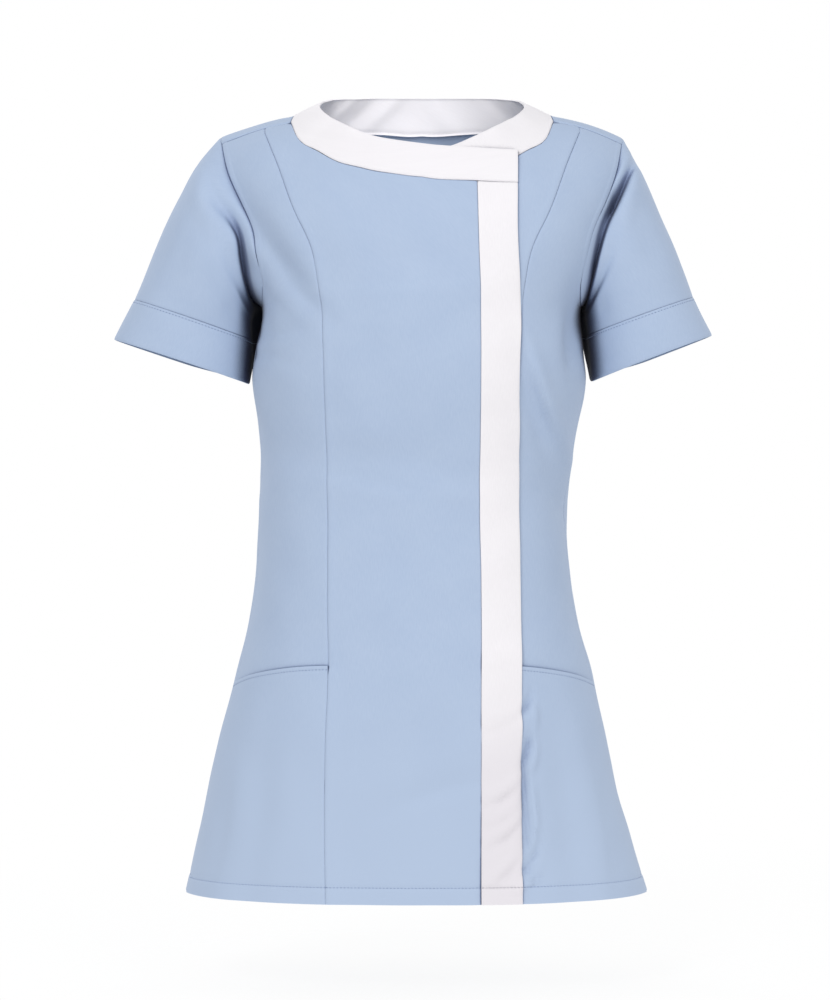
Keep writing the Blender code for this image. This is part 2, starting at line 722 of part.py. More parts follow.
def neckband_place(stops):
    across_stop = spread(stops)

    def place(u, v, face):
        at = across_stop(u)
        points, upwards, body_out, lift = neck_strip(at, v)
        end, step = stops[-1], 0.05
        before = neck_strip(np.clip(at - step, 0, end), v)[0]
        after = neck_strip(np.clip(at + step, 0, end), v)[0]
        band_out = unit(np.cross(unit(after - before), upwards))
        sewn = (v < 1e-6)[:, None]
        out = np.where(sewn, body_out, band_out)
        away = (lift + BAND_WALL * face)[:, None]
        return points + out * away + np.where(sewn, upwards * SEAM_GAP, 0)

    return place


def neckband_stops():
    """The neckband's columns, counted in stations from its under end to its over end."""
    first, second = UNDER_STOPS[-1], UNDER_STOPS[-1] + BACK_STOPS[-1]
    back = [first + stop for stop in BACK_STOPS[1:]]
    over = [second + stop for stop in OVER_STOPS[1:]]
    return np.array([*UNDER_STOPS, *back, *over], float)


def sleeve_turn(share):
    """Round a sleeve from the underarm, up the front to the shoulder seam and down the back."""
    front = 180 - 2 * share * (180 - SEAM_TURN)
    back = SEAM_TURN - (2 * share - 1) * (180 + SEAM_TURN)
    return np.where(share <= 0.5, front, back)


def ring_points(side, ring, turn):
    cosine, sine = np.cos(np.radians(turn)), np.sin(np.radians(turn))
    behind = np.where((sine < 0) & (cosine < 0), np.sin(np.radians(2 * turn)) ** 2, 0)
    across = (ring.top_across + ring.low_across) / 2 + (ring.top_across - ring.low_across) / 2 * cosine
    across = across - ring.swing * behind
    height = (ring.top_height + ring.low_height) / 2 + (ring.top_height - ring.low_height) / 2 * cosine
    depth = SLEEVE_DEPTH - np.where(sine > 0, ring.front, ring.back) * sine
    return np.stack([side * across, depth, height], axis=-1)


def armhole_place(side, turn):
    """(angle, rise) of the armhole's edge. The turn is positive at the front and negative at the back."""
    rise = 1 - np.abs(turn) / 180
    angle = armhole_angle(rise, turn >= 0)
    return side * np.where(turn >= 0, angle, 180 - angle), rise


def armhole_edge(side, turn):
    """The panels' edge at the armhole: point, outward direction, and the way out of the panel."""
    turn = np.mod(turn + 180, 360) - 180
    points = body(*armhole_place(side, turn))
    out = body_directions(*armhole_place(side, turn))[0]
    step = 2.0
    ahead = body(*armhole_place(side, np.mod(turn + step + 180, 360) - 180))
    behind = body(*armhole_place(side, np.mod(turn - step + 180, 360) - 180))
    return points, out, unit(np.cross(out, unit(ahead - behind))) * side


def sleeve_surface(side, turn, reach):
    rings = RIGHT_SLEEVE if side < 0 else LEFT_SLEEVE
    folds = RIGHT_SLEEVE_FOLDS if side < 0 else LEFT_SLEEVE_FOLDS
    tuck = RIGHT_TUCK if side < 0 else LEFT_TUCK
    points, out, _ = armhole_edge(side, turn)
    stations = np.stack([points + out * WALL] + [ring_points(side, ring, turn) for ring in rings])
    surface = smooth([0.0] + [ring.reach for ring in rings], stations, reach)
    middle = (ring_points(side, rings[1], 0.0) + ring_points(side, rings[1], 180.0)) / 2
    turned = np.mod(turn, 360)
    from_tuck = reach - read(tuck, "reach", turned)
    along = from_tuck / (read(tuck, "span", turned) * np.where(from_tuck < 0, STEEPER, 1))
    push = read(tuck, "out", turned) * np.exp(-(along**2)) * ease(reach / TUCK_START)
    for fold in folds:
        around = (turned - fold.turn) / fold.turn_span
        push = push + fold.out * np.exp(-(around**2) - ((reach - fold.reach) / fold.reach_span) ** 2)
    return surface + unit(surface - middle) * push[:, None]


def tube_directions(surface, side, turn, reach):
    """Outwards and down a sleeve or cuff."""
    turn_step, reach_step = 3.0, 0.02
    round_it = surface(side, turn + turn_step, reach) - surface(side, turn - turn_step, reach)
    high, low = np.minimum(reach + reach_step, 1), np.maximum(reach - reach_step, 0)
    down = unit(surface(side, turn, high) - surface(side, turn, low))
    return unit(np.cross(unit(round_it), down)) * side, down


def sleeve_place(side):
    along = spread(SLEEVE_STOPS)

    def place(u, v, face):
        turn, reach = sleeve_turn(u), along(v)
        points = sleeve_surface(side, turn, reach)
        out, down = tube_directions(sleeve_surface, side, turn, reach)
        edge, edge_out, away = armhole_edge(side, turn)
        sewn = (v < 1e-6)[:, None]
        inside = points - out * WALL * (1 - face) - np.where(v > 1 - 1e-6, SEAM_GAP / 2, 0)[:, None] * down
        return np.where(sewn, edge + edge_out * WALL * face + away * SEAM_GAP, inside)

    return place


def cuff_surface(side, turn, reach):
    start = ring_points(side, (RIGHT_SLEEVE if side < 0 else LEFT_SLEEVE)[-1], turn)
    end = ring_points(side, RIGHT_CUFF if side < 0 else LEFT_CUFF, turn)
    return start + (end - start) * reach[:, None]


def cuff_place(side):
    def place(u, v, face):
        turn = sleeve_turn(u)
        points = cuff_surface(side, turn, v)
        out, down = tube_directions(cuff_surface, side, turn, v)
        away = CUFF_PROUD - CUFF_WALL * (1 - face)
        return points + out * away + np.where(v < 1e-6, SEAM_GAP / 2, 0)[:, None] * down

    return place


def clear_scene():
    for item in list(bpy.data.objects):
        bpy.data.objects.remove(item, do_unlink=True)


def build():
    clear_scene()
    tunic = bpy.data.collections.new("medical_tunic")
    bpy.context.scene.collection.children.link(tunic)
    rows = LOWER_ROWS + UPPER_ROWS
    over, over_columns = front_over_place()
    under, under_columns = front_under_place()
    placket, placket_columns = placket_place()
    back, back_columns = back_place()
    stops = neckband_stops()
    sleeve_columns, sleeve_rows = 2 * UPPER_ROWS, len(SLEEVE_STOPS) - 1
    sew("front_over", over_columns, rows, over, BLUE_TWILL, tunic)
    sew("front_under", under_columns, rows, under, BLUE_TWILL, tunic)
    sew("placket_band", placket_columns, rows, placket, WHITE_TWILL, tunic)
    sew("back", back_columns, rows, back, BLUE_TWILL, tunic)
    sew("neckband", len(stops) - 1, NECKBAND_ROWS, neckband_place(stops), WHITE_TWILL, tunic)
    for side, hand in ((-1, "right"), (1, "left")):
        sew("side_front_" + hand, SIDE_COLUMNS, rows, side_front_place(side), BLUE_TWILL, tunic)
        sew("pocket_" + hand, SIDE_COLUMNS, POCKET_ROWS, pocket_place(side), BLUE_TWILL, tunic)
        sew("sleeve_" + hand, sleeve_columns, sleeve_rows, sleeve_place(side), BLUE_TWILL, tunic, tube=True)
        sew("cuff_" + hand, sleeve_columns, CUFF_ROWS, cuff_place(side), BLUE_TWILL, tunic, tube=True)


build()
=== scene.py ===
"""The looks of the crossover medical tunic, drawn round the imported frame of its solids.

Metres, +Z up, the front faces -Y and the wearer's left is at +X. Every panel is drawn again from the body
surface that its solid was cut from, on a finer grid. Here it gets its soft creases, the turned edges at its
seams, its stitches and its woven cloth.
"""

from collections import namedtuple

import bmesh
import bpy
import numpy as np
from mathutils import Matrix, Vector


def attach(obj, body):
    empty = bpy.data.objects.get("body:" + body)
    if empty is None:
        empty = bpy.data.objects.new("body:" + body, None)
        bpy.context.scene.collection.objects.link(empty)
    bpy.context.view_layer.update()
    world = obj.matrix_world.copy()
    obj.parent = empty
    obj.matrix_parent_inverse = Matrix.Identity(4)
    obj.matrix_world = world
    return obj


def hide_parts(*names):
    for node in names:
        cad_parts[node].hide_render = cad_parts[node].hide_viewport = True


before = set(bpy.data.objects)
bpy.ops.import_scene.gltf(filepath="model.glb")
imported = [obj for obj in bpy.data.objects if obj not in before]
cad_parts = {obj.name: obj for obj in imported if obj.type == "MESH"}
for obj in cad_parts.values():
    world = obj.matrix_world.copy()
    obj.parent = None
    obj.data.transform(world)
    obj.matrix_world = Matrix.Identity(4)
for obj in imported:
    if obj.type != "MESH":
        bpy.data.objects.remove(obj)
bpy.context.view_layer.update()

# The wearer's sides, with the sign that each has across the body
SIDES = ((-1, "right"), (1, "left"))

# Cloth: thickness of each wall, the gap at every seam, and how far the crossed-over layer stands off
WALL = 0.0012
BAND_WALL = 0.0015
CUFF_WALL = 0.0017
SEAM_GAP = 0.0001
OVER_LIFT = 0.0025
POCKET_LIFT = WALL + 0.0004
BAND_OVER_POCKET = POCKET_LIFT + WALL + 0.0007
POCKET_SLOPE_WIDTH = 0.012
POCKET_SLOPE_HEIGHT = 0.028

# Heights that divide the body
HEM = -0.716
CHEST = -0.176
SIDE_DEPTH = 0.002
RIDGE_DEPTH = 0.004
NECK_LEAN = 0.0065

# Roundness of a cross-section: 2 is an ellipse
ROUND = 2.4

# The shoulder line falls from the neck point with a slope and a bow
NECK_POINT = 0.1214
RIDGE_SLOPE = 0.18
RIDGE_BOW = 2.15

# The shoulder seam lies this far in front of the ridge, in degrees round the armhole
SEAM_TURN = 15.3
FRONT_TOP = 1 - SEAM_TURN / 180
BACK_TOP = 1 + SEAM_TURN / 180

# The side seam moves this far to the front of the side, over this height below the underarm
SIDE_SEAM_TURN = 10.0
SIDE_SEAM_BLEND = 0.08

# The under front ends this far from the centre line, and the over front rises across this width
UNDER_EDGE = 0.015
OVER_START = -0.062
OVER_FULL = -0.004


def table(fields, *rows):
    """Rows of numbers, whose columns are read by the names in fields."""
    kind = namedtuple("Row", fields)
    return tuple(kind(*row) for row in rows)


# Half the body's width, and its depth at the centre of the front and the back
WIDTH = table(
    "height across",
    (-0.716, 0.2135), (-0.69, 0.2069), (-0.634, 0.1925), (-0.578, 0.1804), (-0.522, 0.1665),
    (-0.467, 0.1525), (-0.411, 0.145), (-0.355, 0.1432), (-0.313, 0.1446), (-0.285, 0.1488),
    (-0.257, 0.1535), (-0.243, 0.1545), (-0.215, 0.152), (-0.176, 0.1485), (-0.15, 0.157), (-0.118, 0.1725),
    (-0.085, 0.185), (-0.052, 0.191), (-0.0208, 0.1912),
)
DEPTH = table(
    "height front back",
    (-0.716, -0.125, 0.125), (-0.634, -0.123, 0.12), (-0.578, -0.122, 0.116), (-0.522, -0.121, 0.11),
    (-0.467, -0.118, 0.099), (-0.411, -0.115, 0.085), (-0.355, -0.1145, 0.077), (-0.313, -0.119, 0.08),
    (-0.285, -0.124, 0.088), (-0.257, -0.129, 0.097), (-0.215, -0.1325, 0.106), (-0.176, -0.1325, 0.107),
)

# How far the garment's middle stands from the centre line at each height
LEAN = table(
    "height across",
    (-0.716, 0.001), (-0.69, 0), (-0.606, -0.0023), (-0.5, -0.001), (-0.439, -0.0022), (-0.383, -0.0016),
    (-0.355, -0.0014), (-0.285, 0.0028), (-0.257, 0.0037), (-0.15, 0.006), (0, NECK_LEAN),
)

# The armhole, from the shoulder tip down its front to the underarm (turn 180) and up its back
ARMHOLE = table(
    "turn across height",
    (0, 0.1865, -0.0208), (38, 0.1792, -0.052), (72, 0.168, -0.085), (104, 0.154, -0.118),
    (139, 0.145, -0.153), (180, 0.1473, CHEST), (223, 0.149, -0.15), (259, 0.16, -0.112),
    (295, 0.175, -0.075), (328, 0.184, -0.045),
)
TIP = ARMHOLE[0]

# Front princess seam, measured from the garment's middle
PRINCESS = table(
    "height across",
    (-0.712, 0.0804), (-0.498, 0.0766), (-0.355, 0.0775), (-0.264, 0.0843), (-0.213, 0.0869),
    (-0.164, 0.092), (-0.129, 0.099), (-0.095, 0.1146), (-0.049, 0.1318), (-0.018, 0.1445),
)

# The two long edges of the placket band, from the centre line
PLACKET = table(
    "height inner outer",
    (-0.716, 0.0589, 0.0953), (-0.535, 0.0588, 0.0944), (-0.445, 0.0587, 0.0937), (-0.355, 0.0573, 0.0922),
    (-0.27, 0.058, 0.0928), (-0.165, 0.0578, 0.0925), (-0.11, 0.0562, 0.0912), (-0.07, 0.0555, 0.0914),
)

# The neckband: where its lower edge is sewn to the body, and its upper edge, from the garment's middle
NECK_FIELDS = "across height top_across top_depth top_height"
UNDER_NECK = table(
    NECK_FIELDS,
    (0.0095, -0.066, 0, -0.088, -0.039), (0.0344, -0.0619, 0.0235, -0.085, -0.0362),
    (0.057, -0.0559, 0.047, -0.0785, -0.0262),
)
SIDE_OF_NECK = table(
    NECK_FIELDS,
    (0.0769, -0.0498, 0.0645, -0.071, -0.017), (0.0962, -0.0379, 0.0765, -0.057, -0.0098),
    (0.1073, -0.0317, 0.0845, -0.048, -0.0047), (0.1149, -0.0225, 0.0905, -0.036, 0.0012),
)
NECK_CORNER = table(NECK_FIELDS, (0.1206, None, 0.0945, -0.012, 0.0085))[0]
BACK_NECK = table(
    NECK_FIELDS,
    (0.1165, None, 0.093, 0.004, 0.014), (0.108, -0.003, 0.0885, 0.019, 0.018),
    (0.094, -0.0065, 0.078, 0.031, 0.0212), (0.068, -0.0085, 0.057, 0.04, 0.023),
    (0.036, -0.0095, 0.03, 0.048, 0.0242), (0, -0.01, 0, 0.0525, 0.0247),
)
OVER_NECK = table(
    NECK_FIELDS,
    (-0.057, -0.0559, -0.049, -0.08, -0.0245), (-0.0344, -0.0619, -0.0285, -0.0875, -0.0304),
    (0.0043, -0.068, 0.008, -0.0925, -0.0364), (0.049, -0.0701, 0.0505, -0.09, -0.0387),
    (0.085, -0.0715, 0.0857, -0.083, -0.0401),
)

# Sleeve sections, from the centre line: the highest and the lowest point, the depth to front and back,
# and how far the cloth behind the underarm swings in towards the body
RING_FIELDS = "reach top_across top_height low_across low_height front back swing"
RIGHT_SLEEVE = table(
    RING_FIELDS,
    (0.15, 0.2, -0.04, 0.1478, -0.1775, 0.064, 0.066, 0.012),
    (0.4, 0.2204, -0.076, 0.1516, -0.186, 0.062, 0.064, 0.02),
    (0.7, 0.241, -0.122, 0.1522, -0.196, 0.056, 0.058, 0.02),
    (1, 0.2613, -0.169, 0.1515, -0.2071, 0.049, 0.051, 0.018),
)
RIGHT_CUFF = table(RING_FIELDS, (1, 0.279, -0.2062, 0.155, -0.247, 0.047, 0.049, 0.008))[0]
LEFT_SLEEVE = table(
    RING_FIELDS,
    (0.15, 0.205, -0.0385, 0.1578, -0.1785, 0.064, 0.066, 0.01),
    (0.4, 0.2205, -0.073, 0.159, -0.186, 0.063, 0.065, 0.016),
    (0.7, 0.239, -0.115, 0.16, -0.194, 0.059, 0.061, 0.016),
    (1, 0.2585, -0.1671, 0.1605, -0.2025, 0.054, 0.056, 0.014),
)
LEFT_CUFF = table(RING_FIELDS, (1, 0.2753, -0.2025, 0.165, -0.2445, 0.052, 0.054, 0.01))[0]
SLEEVE_DEPTH = 0.002
CUFF_PROUD = 0.0005

# Pocket mouths, from the princess seam to the side seam
MOUTH_TOP = -0.5035
MOUTH_DROP = 0.0205
MOUTH_BEND = 1.6

# Largest soft folds: where each lies from the centre line, its half length and half width, how far its
# run is turned from level in degrees, and how far it stands out (or in, where it is negative)
FOLD_FIELDS = "across height run width tilt out"
# Folds fade out below this rise, and towards the sides (where the share is 1)
FOLD_END, FOLD_FADE = 0.75, 0.4
FOLD_SIDE, FOLD_SIDE_FADE = 1.1, 0.3
FRONT_FOLDS = table(
    FOLD_FIELDS,
    (-0.128, -0.118, 0.065, 0.013, -58, -0.003), (-0.105, -0.135, 0.07, 0.014, -56, 0.0022),
    (-0.02, -0.14, 0.09, 0.016, 3, -0.0018), (-0.015, -0.322, 0.075, 0.017, -8, -0.0024),
    (0.111, -0.287, 0.055, 0.009, -71, -0.0034), (0.127, -0.283, 0.055, 0.009, -71, 0.003),
    (0.12, -0.345, 0.05, 0.012, -50, -0.0026), (0.144, -0.208, 0.034, 0.009, 88, -0.008),
    (-0.14, -0.64, 0.09, 0.016, 84, -0.0032), (0.135, -0.635, 0.1, 0.016, 97, -0.0034),
    (0.02, -0.6, 0.11, 0.022, 88, -0.0022),
)
BACK_FOLDS = table(
    FOLD_FIELDS,
    (0.02, -0.34, 0.1, 0.014, 4, -0.004), (-0.025, -0.372, 0.09, 0.013, -5, 0.003),
    (0.105, -0.15, 0.07, 0.014, 55, -0.0028), (-0.11, -0.155, 0.065, 0.014, -58, -0.003),
    (0.09, -0.6, 0.12, 0.02, 86, -0.004), (-0.07, -0.61, 0.115, 0.021, 94, -0.0044),
)

# Sleeve folds: turn and reach of the middle, their half spans, and how far each stands out
SLEEVE_FOLD_FIELDS = "turn reach turn_span reach_span out"
RIGHT_SLEEVE_FOLDS = table(SLEEVE_FOLD_FIELDS, (300, 0.2, 24, 0.2, -0.004))
LEFT_SLEEVE_FOLDS = table(SLEEVE_FOLD_FIELDS, (295, 0.2, 24, 0.2, -0.0045))
# The deep tuck that each sleeve makes beside its armhole: where it lies at each turn, its half span, and
# its depth. It drops from the armhole over TUCK_START of the reach, and is steeper on that side
TUCK_START = 0.02
STEEPER = 0.5
TUCK_FIELDS = "turn reach span out"
RIGHT_TUCK = table(
    TUCK_FIELDS,
    (0, 0.13, 0.09, 0), (40, 0.13, 0.09, -0.001), (62, 0.12, 0.09, -0.0055), (80, 0.06, 0.06, -0.008),
    (95, 0.03, 0.05, -0.013), (115, 0.03, 0.07, -0.019), (140, 0.03, 0.09, -0.021),
    (160, 0.03, 0.1, -0.017), (182, 0.03, 0.1, -0.008), (215, 0.03, 0.09, 0), (360, 0.03, 0.09, 0),
)
LEFT_TUCK = table(
    TUCK_FIELDS,
    (0, 0.14, 0.055, 0), (19, 0.13, 0.055, -0.005), (35, 0.1, 0.06, -0.0095), (52, 0.07, 0.065, -0.0135),
    (68, 0.04, 0.06, -0.015), (85, 0.025, 0.05, -0.011), (110, 0.025, 0.055, -0.015),
    (140, 0.025, 0.075, -0.017), (160, 0.025, 0.08, -0.014), (182, 0.025, 0.08, -0.007),
    (215, 0.025, 0.08, 0), (360, 0.025, 0.08, 0),
)


def unit(vectors):
    return vectors / np.linalg.norm(vectors, axis=-1, keepdims=True)


def ease(share):
    """A share from 0 to 1 with soft ends."""
    share = np.clip(share, 0.0, 1.0)
    return share * share * (3 - 2 * share)


def smooth(keys, values, at):
    """A smooth curve through values at the keys. Values may hold a column for each place asked for."""
    keys = np.asarray(keys, float)
    values = np.asarray(values, float)
    slopes = np.gradient(values, keys, axis=0)
    first = np.clip(np.searchsorted(keys, at, side="right") - 1, 0, len(keys) - 2)
    step = keys[first + 1] - keys[first]
    share = np.clip((at - keys[first]) / step, 0.0, 1.0)
    if values.ndim == 1:
        start, end = values[first], values[first + 1]
        leave, arrive = slopes[first] * step, slopes[first + 1] * step
    else:
        each = np.arange(values.shape[1])
        start, end = values[first, each], values[first + 1, each]
        leave, arrive = slopes[first, each] * step[:, None], slopes[first + 1, each] * step[:, None]
        share = share[:, None]
    square, cube = share**2, share**3
    return (
        (2 * cube - 3 * square + 1) * start
        + (cube - 2 * square + share) * leave
        + (3 * square - 2 * cube) * end
        + (cube - square) * arrive
    )


def read(table, column, at):
    """A column of a table as a smooth curve along the table's first column."""
    return smooth([row[0] for row in table], [getattr(row, column) for row in table], at)


def armhole(column, turn):
    """The armhole's table as a closed curve."""
    turns = [row.turn for row in ARMHOLE]
    values = [getattr(row, column) for row in ARMHOLE]
    turns = [turns[-1] - 360] + turns + [360, turns[1] + 360]
    values = [values[-1]] + values + [values[0], values[1]]
    return smooth(turns, values, turn)


def lean(height):
    return read(LEAN, "across", height)


def ridge(across):
    """Height of the shoulders' ridge."""
    past = across - NECK_POINT
    return -RIDGE_SLOPE * past - RIDGE_BOW * np.maximum(past, 0.0) ** 2


def in_front(angle):
    return np.cos(np.radians(angle)) > -1e-9


def row_height(rise, front):
    """Height of a row where it meets the side seam or the armhole."""
    turn = np.where(front, 180 * (1 - np.maximum(rise, 0)), 180 * (1 + np.maximum(rise, 0)))
    below = CHEST + np.minimum(rise, 0) * (CHEST - HEM)
    return np.where(rise > 0, np.maximum(armhole("height", turn), CHEST), below)


def half_width(rise, front):
    """From the middle to the side of the body, on the wall's inner face."""
    return read(WIDTH, "across", row_height(rise, front)) - WALL


def body(angle, rise):
    """The body surface, which is the inner face of a panel that lies on nothing."""
    angle, rise = np.broadcast_arrays(np.asarray(angle, float), np.asarray(rise, float))
    angle = np.where(rise > 1, 180 - angle, angle)
    rise = np.where(rise > 1, 2 - rise, rise)
    front = in_front(angle)
    sine = np.sin(np.radians(angle))
    row = row_height(rise, front)
    below = np.minimum(row, CHEST)
    climb = np.clip((row - CHEST) / (TIP.height - CHEST), 0.0, 1.0)
    height = below + (ridge(np.abs(sine) * TIP.across) - CHEST) * climb
    side = SIDE_DEPTH + (RIDGE_DEPTH - SIDE_DEPTH) * climb
    chest = np.where(front, read(DEPTH, "front", below), read(DEPTH, "back", below))
    centre = side + (chest - side) * np.sqrt(1 - climb**2)
    share = (1 - np.minimum(np.abs(sine), 1.0) ** ROUND) ** (1 / ROUND)
    across = lean(height) + half_width(rise, front) * sine
    return np.stack([across, side + (centre - side) * share, height], axis=-1)


def body_directions(angle, rise):
    """At a point of the body surface: outwards, round the body and up it."""
    angle, rise = np.broadcast_arrays(np.asarray(angle, float), np.asarray(rise, float))
    turn_step, rise_step = 2.0, 0.01
    round_it = unit(body(angle + turn_step, rise) - body(angle - turn_step, rise))
    up_it = unit(body(angle, rise + rise_step) - body(angle, rise - rise_step))
    return unit(np.cross(round_it, up_it)), round_it, up_it


# The far side of a crease falls off more slowly than the near side
FAR_SIDE = 1.5
NEAR_SIDE = 0.8


def fold_height(points, folds):
    """How far folds push the cloth out at each point. Those that have a bend are creases."""
    out = np.zeros(points.shape[:-1])
    for fold in folds:
        tilt = np.radians(fold.tilt)
        across, height = points[..., 0] - fold.across, points[..., 2] - fold.height
        along = (across * np.cos(tilt) + height * np.sin(tilt)) / fold.run
        aside, width = height * np.cos(tilt) - across * np.sin(tilt), fold.width
        if hasattr(fold, "bend"):
            aside = aside - fold.bend * along**2
            width = width * np.where(aside > 0, FAR_SIDE, NEAR_SIDE)
        out += fold.out * np.exp(-(along**2) - (aside / width) ** 2)
    return out


def over_lift(points):
    """The over front stands off the under front where the two cross."""
    across = points[..., 0] - NECK_LEAN
    return OVER_LIFT * ease((across - OVER_START) / (OVER_FULL - OVER_START))


def band_lift(points):
    """The placket band also clears the pocket that passes under its lower end."""
    across, height = points[..., 0], points[..., 2]
    past_seam = ease((across - PLACKET[0].inner) / POCKET_SLOPE_WIDTH)
    below_mouth = ease((MOUTH_TOP + POCKET_SLOPE_HEIGHT - height) / POCKET_SLOPE_HEIGHT)
    return OVER_LIFT + (BAND_OVER_POCKET - OVER_LIFT) * past_seam * below_mouth


def no_lift(points):
    return np.zeros(points.shape[:-1])


def pocket_lift(points):
    return np.full(points.shape[:-1], POCKET_LIFT)


def body_skin(angle, rise, lift):
    """A point of the inner face of a piece on the body, with the ways round the body and up it."""
    base = body(angle, rise)
    out, round_it, up_it = body_directions(angle, rise)
    folds = np.where(in_front(angle), fold_height(base, FRONT_FOLDS), fold_height(base, BACK_FOLDS))
    towards_side = 1 - np.abs(np.cos(np.radians(angle)))
    calm = ease((FOLD_END - rise) / FOLD_FADE) * ease((FOLD_SIDE - towards_side) / FOLD_SIDE_FADE)
    return base + out * (lift(base) + folds * calm)[..., None], round_it, up_it


# A line's angle is found in a few rounds, each from the height that the last one's angle gives
FIRST_ANGLE = 20.0
ANGLE_ROUNDS = 5


def angle_of(across_at, rise):
    """The angle at which a line on the front, given by its distance at each height, crosses this rise."""
    angle = np.full(np.shape(rise), FIRST_ANGLE)
    for _ in range(ANGLE_ROUNDS):
        height = body(angle, rise)[..., 2]
        sine = (across_at(height) - lean(height)) / half_width(rise, True)
        angle = np.degrees(np.arcsin(np.clip(sine, -1, 1)))
    return angle


def princess(side):
    """The princess seam on one side, as an angle for each rise."""
    return lambda rise: angle_of(lambda height: lean(height) + side * read(PRINCESS, "across", height), rise)


def placket_line(edge):
    return lambda rise: angle_of(lambda height: read(PLACKET, edge, height), rise)


def under_edge(rise):
    return angle_of(lambda height: np.full(np.shape(height), UNDER_EDGE), rise)


def armhole_angle(rise, front):
    """The armhole's angle from the front or the back centre, in the rows above the underarm."""
    turn = np.where(front, 180 * (1 - rise), 180 * (1 + rise))
    sine = armhole("across", turn) / half_width(rise, front)
    return np.degrees(np.arcsin(np.clip(sine, 0, 1)))


def outer_edge(side):
    """The side seam and, above the underarm, the armhole, as an angle for each rise of a side front."""

    def at(rise):
        rise = np.asarray(rise, float)
        below = np.maximum(-rise, 0) * (CHEST - HEM)
        seam = 90 - SIDE_SEAM_TURN * ease(below / SIDE_SEAM_BLEND)
        return side * np.where(rise > 0, armhole_angle(np.maximum(rise, 0), True), seam)

    return at


def back_edge(side):
    """The same edge as the back panel meets it, in angles that run through 180."""

    def at(rise):
        rise = np.asarray(rise, float)
        behind = 180 - armhole_angle(np.clip(rise, 0, 1), False)
        over_ridge = 180 - armhole_angle(np.clip(2 - rise, 0, 1), True)
        angle = np.where(rise > 1, over_ridge, np.where(rise > 0, behind, outer_edge(1)(rise)))
        return angle if side > 0 else 360 - angle

    return at


SEAT_RISES = (0.3, 1.0)
SEAT_ROUNDS = 40


def seat(across, height, back):
    """(angle, rise) of the neckline's point at this distance and height, found by halving."""
    low, high = SEAT_RISES
    for _ in range(SEAT_ROUNDS):
        rise = (low + high) / 2
        sine = across / float(half_width(np.array(rise), not back))
        angle = np.degrees(np.arcsin(sine))
        angle = 180 - angle if back else angle
        low, high = (rise, high) if body(angle, rise)[2] < height else (low, rise)
    return angle, rise


def mirrored(station):
    return station._replace(across=-station.across, top_across=-station.top_across)


def neck_stretches():
    """The neckline in three stretches, each a list of (station, angle, rise): under front, back, over front.

    The under front and the back start at the wearer's left, and the over front at the right.
    """
    corner = float(np.degrees(np.arcsin(NECK_CORNER.across / half_width(np.array(FRONT_TOP), True))))
    crest = 180 - float(np.degrees(np.arcsin(BACK_NECK[0].across / half_width(np.array(1.0), True))))
    left_corner = (NECK_CORNER, corner, FRONT_TOP)
    right_corner = (mirrored(NECK_CORNER), -corner, FRONT_TOP)
    under = [(row, *seat(row.across, row.height, False)) for row in UNDER_NECK + SIDE_OF_NECK]
    over_rows = [mirrored(row) for row in reversed(SIDE_OF_NECK)] + list(OVER_NECK)
    over = [(row, *seat(row.across, row.height, False)) for row in over_rows]
    left_back = [(BACK_NECK[0], crest, 1.0)]
    left_back += [(row, *seat(row.across, row.height, True)) for row in BACK_NECK[1:]]
    right_back = [(mirrored(row), 360 - angle, rise) for row, angle, rise in reversed(left_back[:-1])]
    back = [(NECK_CORNER, 180 - corner, BACK_TOP)] + left_back + right_back
    back.append((mirrored(NECK_CORNER), 180 + corner, BACK_TOP))
    return under + [left_corner], back, [right_corner] + over


UNDER_STRETCH, BACK_STRETCH, OVER_STRETCH = neck_stretches()
# Where the panels' columns and the neckband's meet along each stretch, counted in stations
UNDER_STOPS = (0, 1, 2, 3, 4, 4.5, 5, 5.5, 6, 6.5, 7)
BACK_STOPS = (0, 0.3, 0.6, 1, 1.5, 2, 3, 4, 5, 6, 7, 8, 9, 10, 10.5, 11, 11.4, 11.7, 12)
OVER_STOPS = (0, 0.5, 1, 1.5, 2, 2.5, 3, 4, 5, 6, 7, 8, 8.5, 9)


def along_stretch(stretch, at):
    """Angle and rise at a place along a stretch of the neckline, counted in stations."""
    stations = np.arange(len(stretch))
    return tuple(smooth(stations, [place[part] for place in stretch], at) for part in (1, 2))


def lengths_along(points):
    """The distance along a line of points to each of them."""
    return np.concatenate([[0], np.cumsum(np.linalg.norm(np.diff(points, axis=0), axis=1))])


def line_top(points):
    """The top edge of a panel as a function of the share of its length, through (angle, rise) points."""
    angles, rises = np.array(points).T
    lengths = lengths_along(body(angles, rises))
    shares = lengths / lengths[-1]
    return lambda share: (np.interp(share, shares, angles), np.interp(share, shares, rises))


def level_top(left, right):
    """The shoulder seam between two seam lines."""
    start, end = float(left(np.array(FRONT_TOP))), float(right(np.array(FRONT_TOP)))
    return lambda share: (start + (end - start) * share, np.full(np.shape(share), FRONT_TOP))


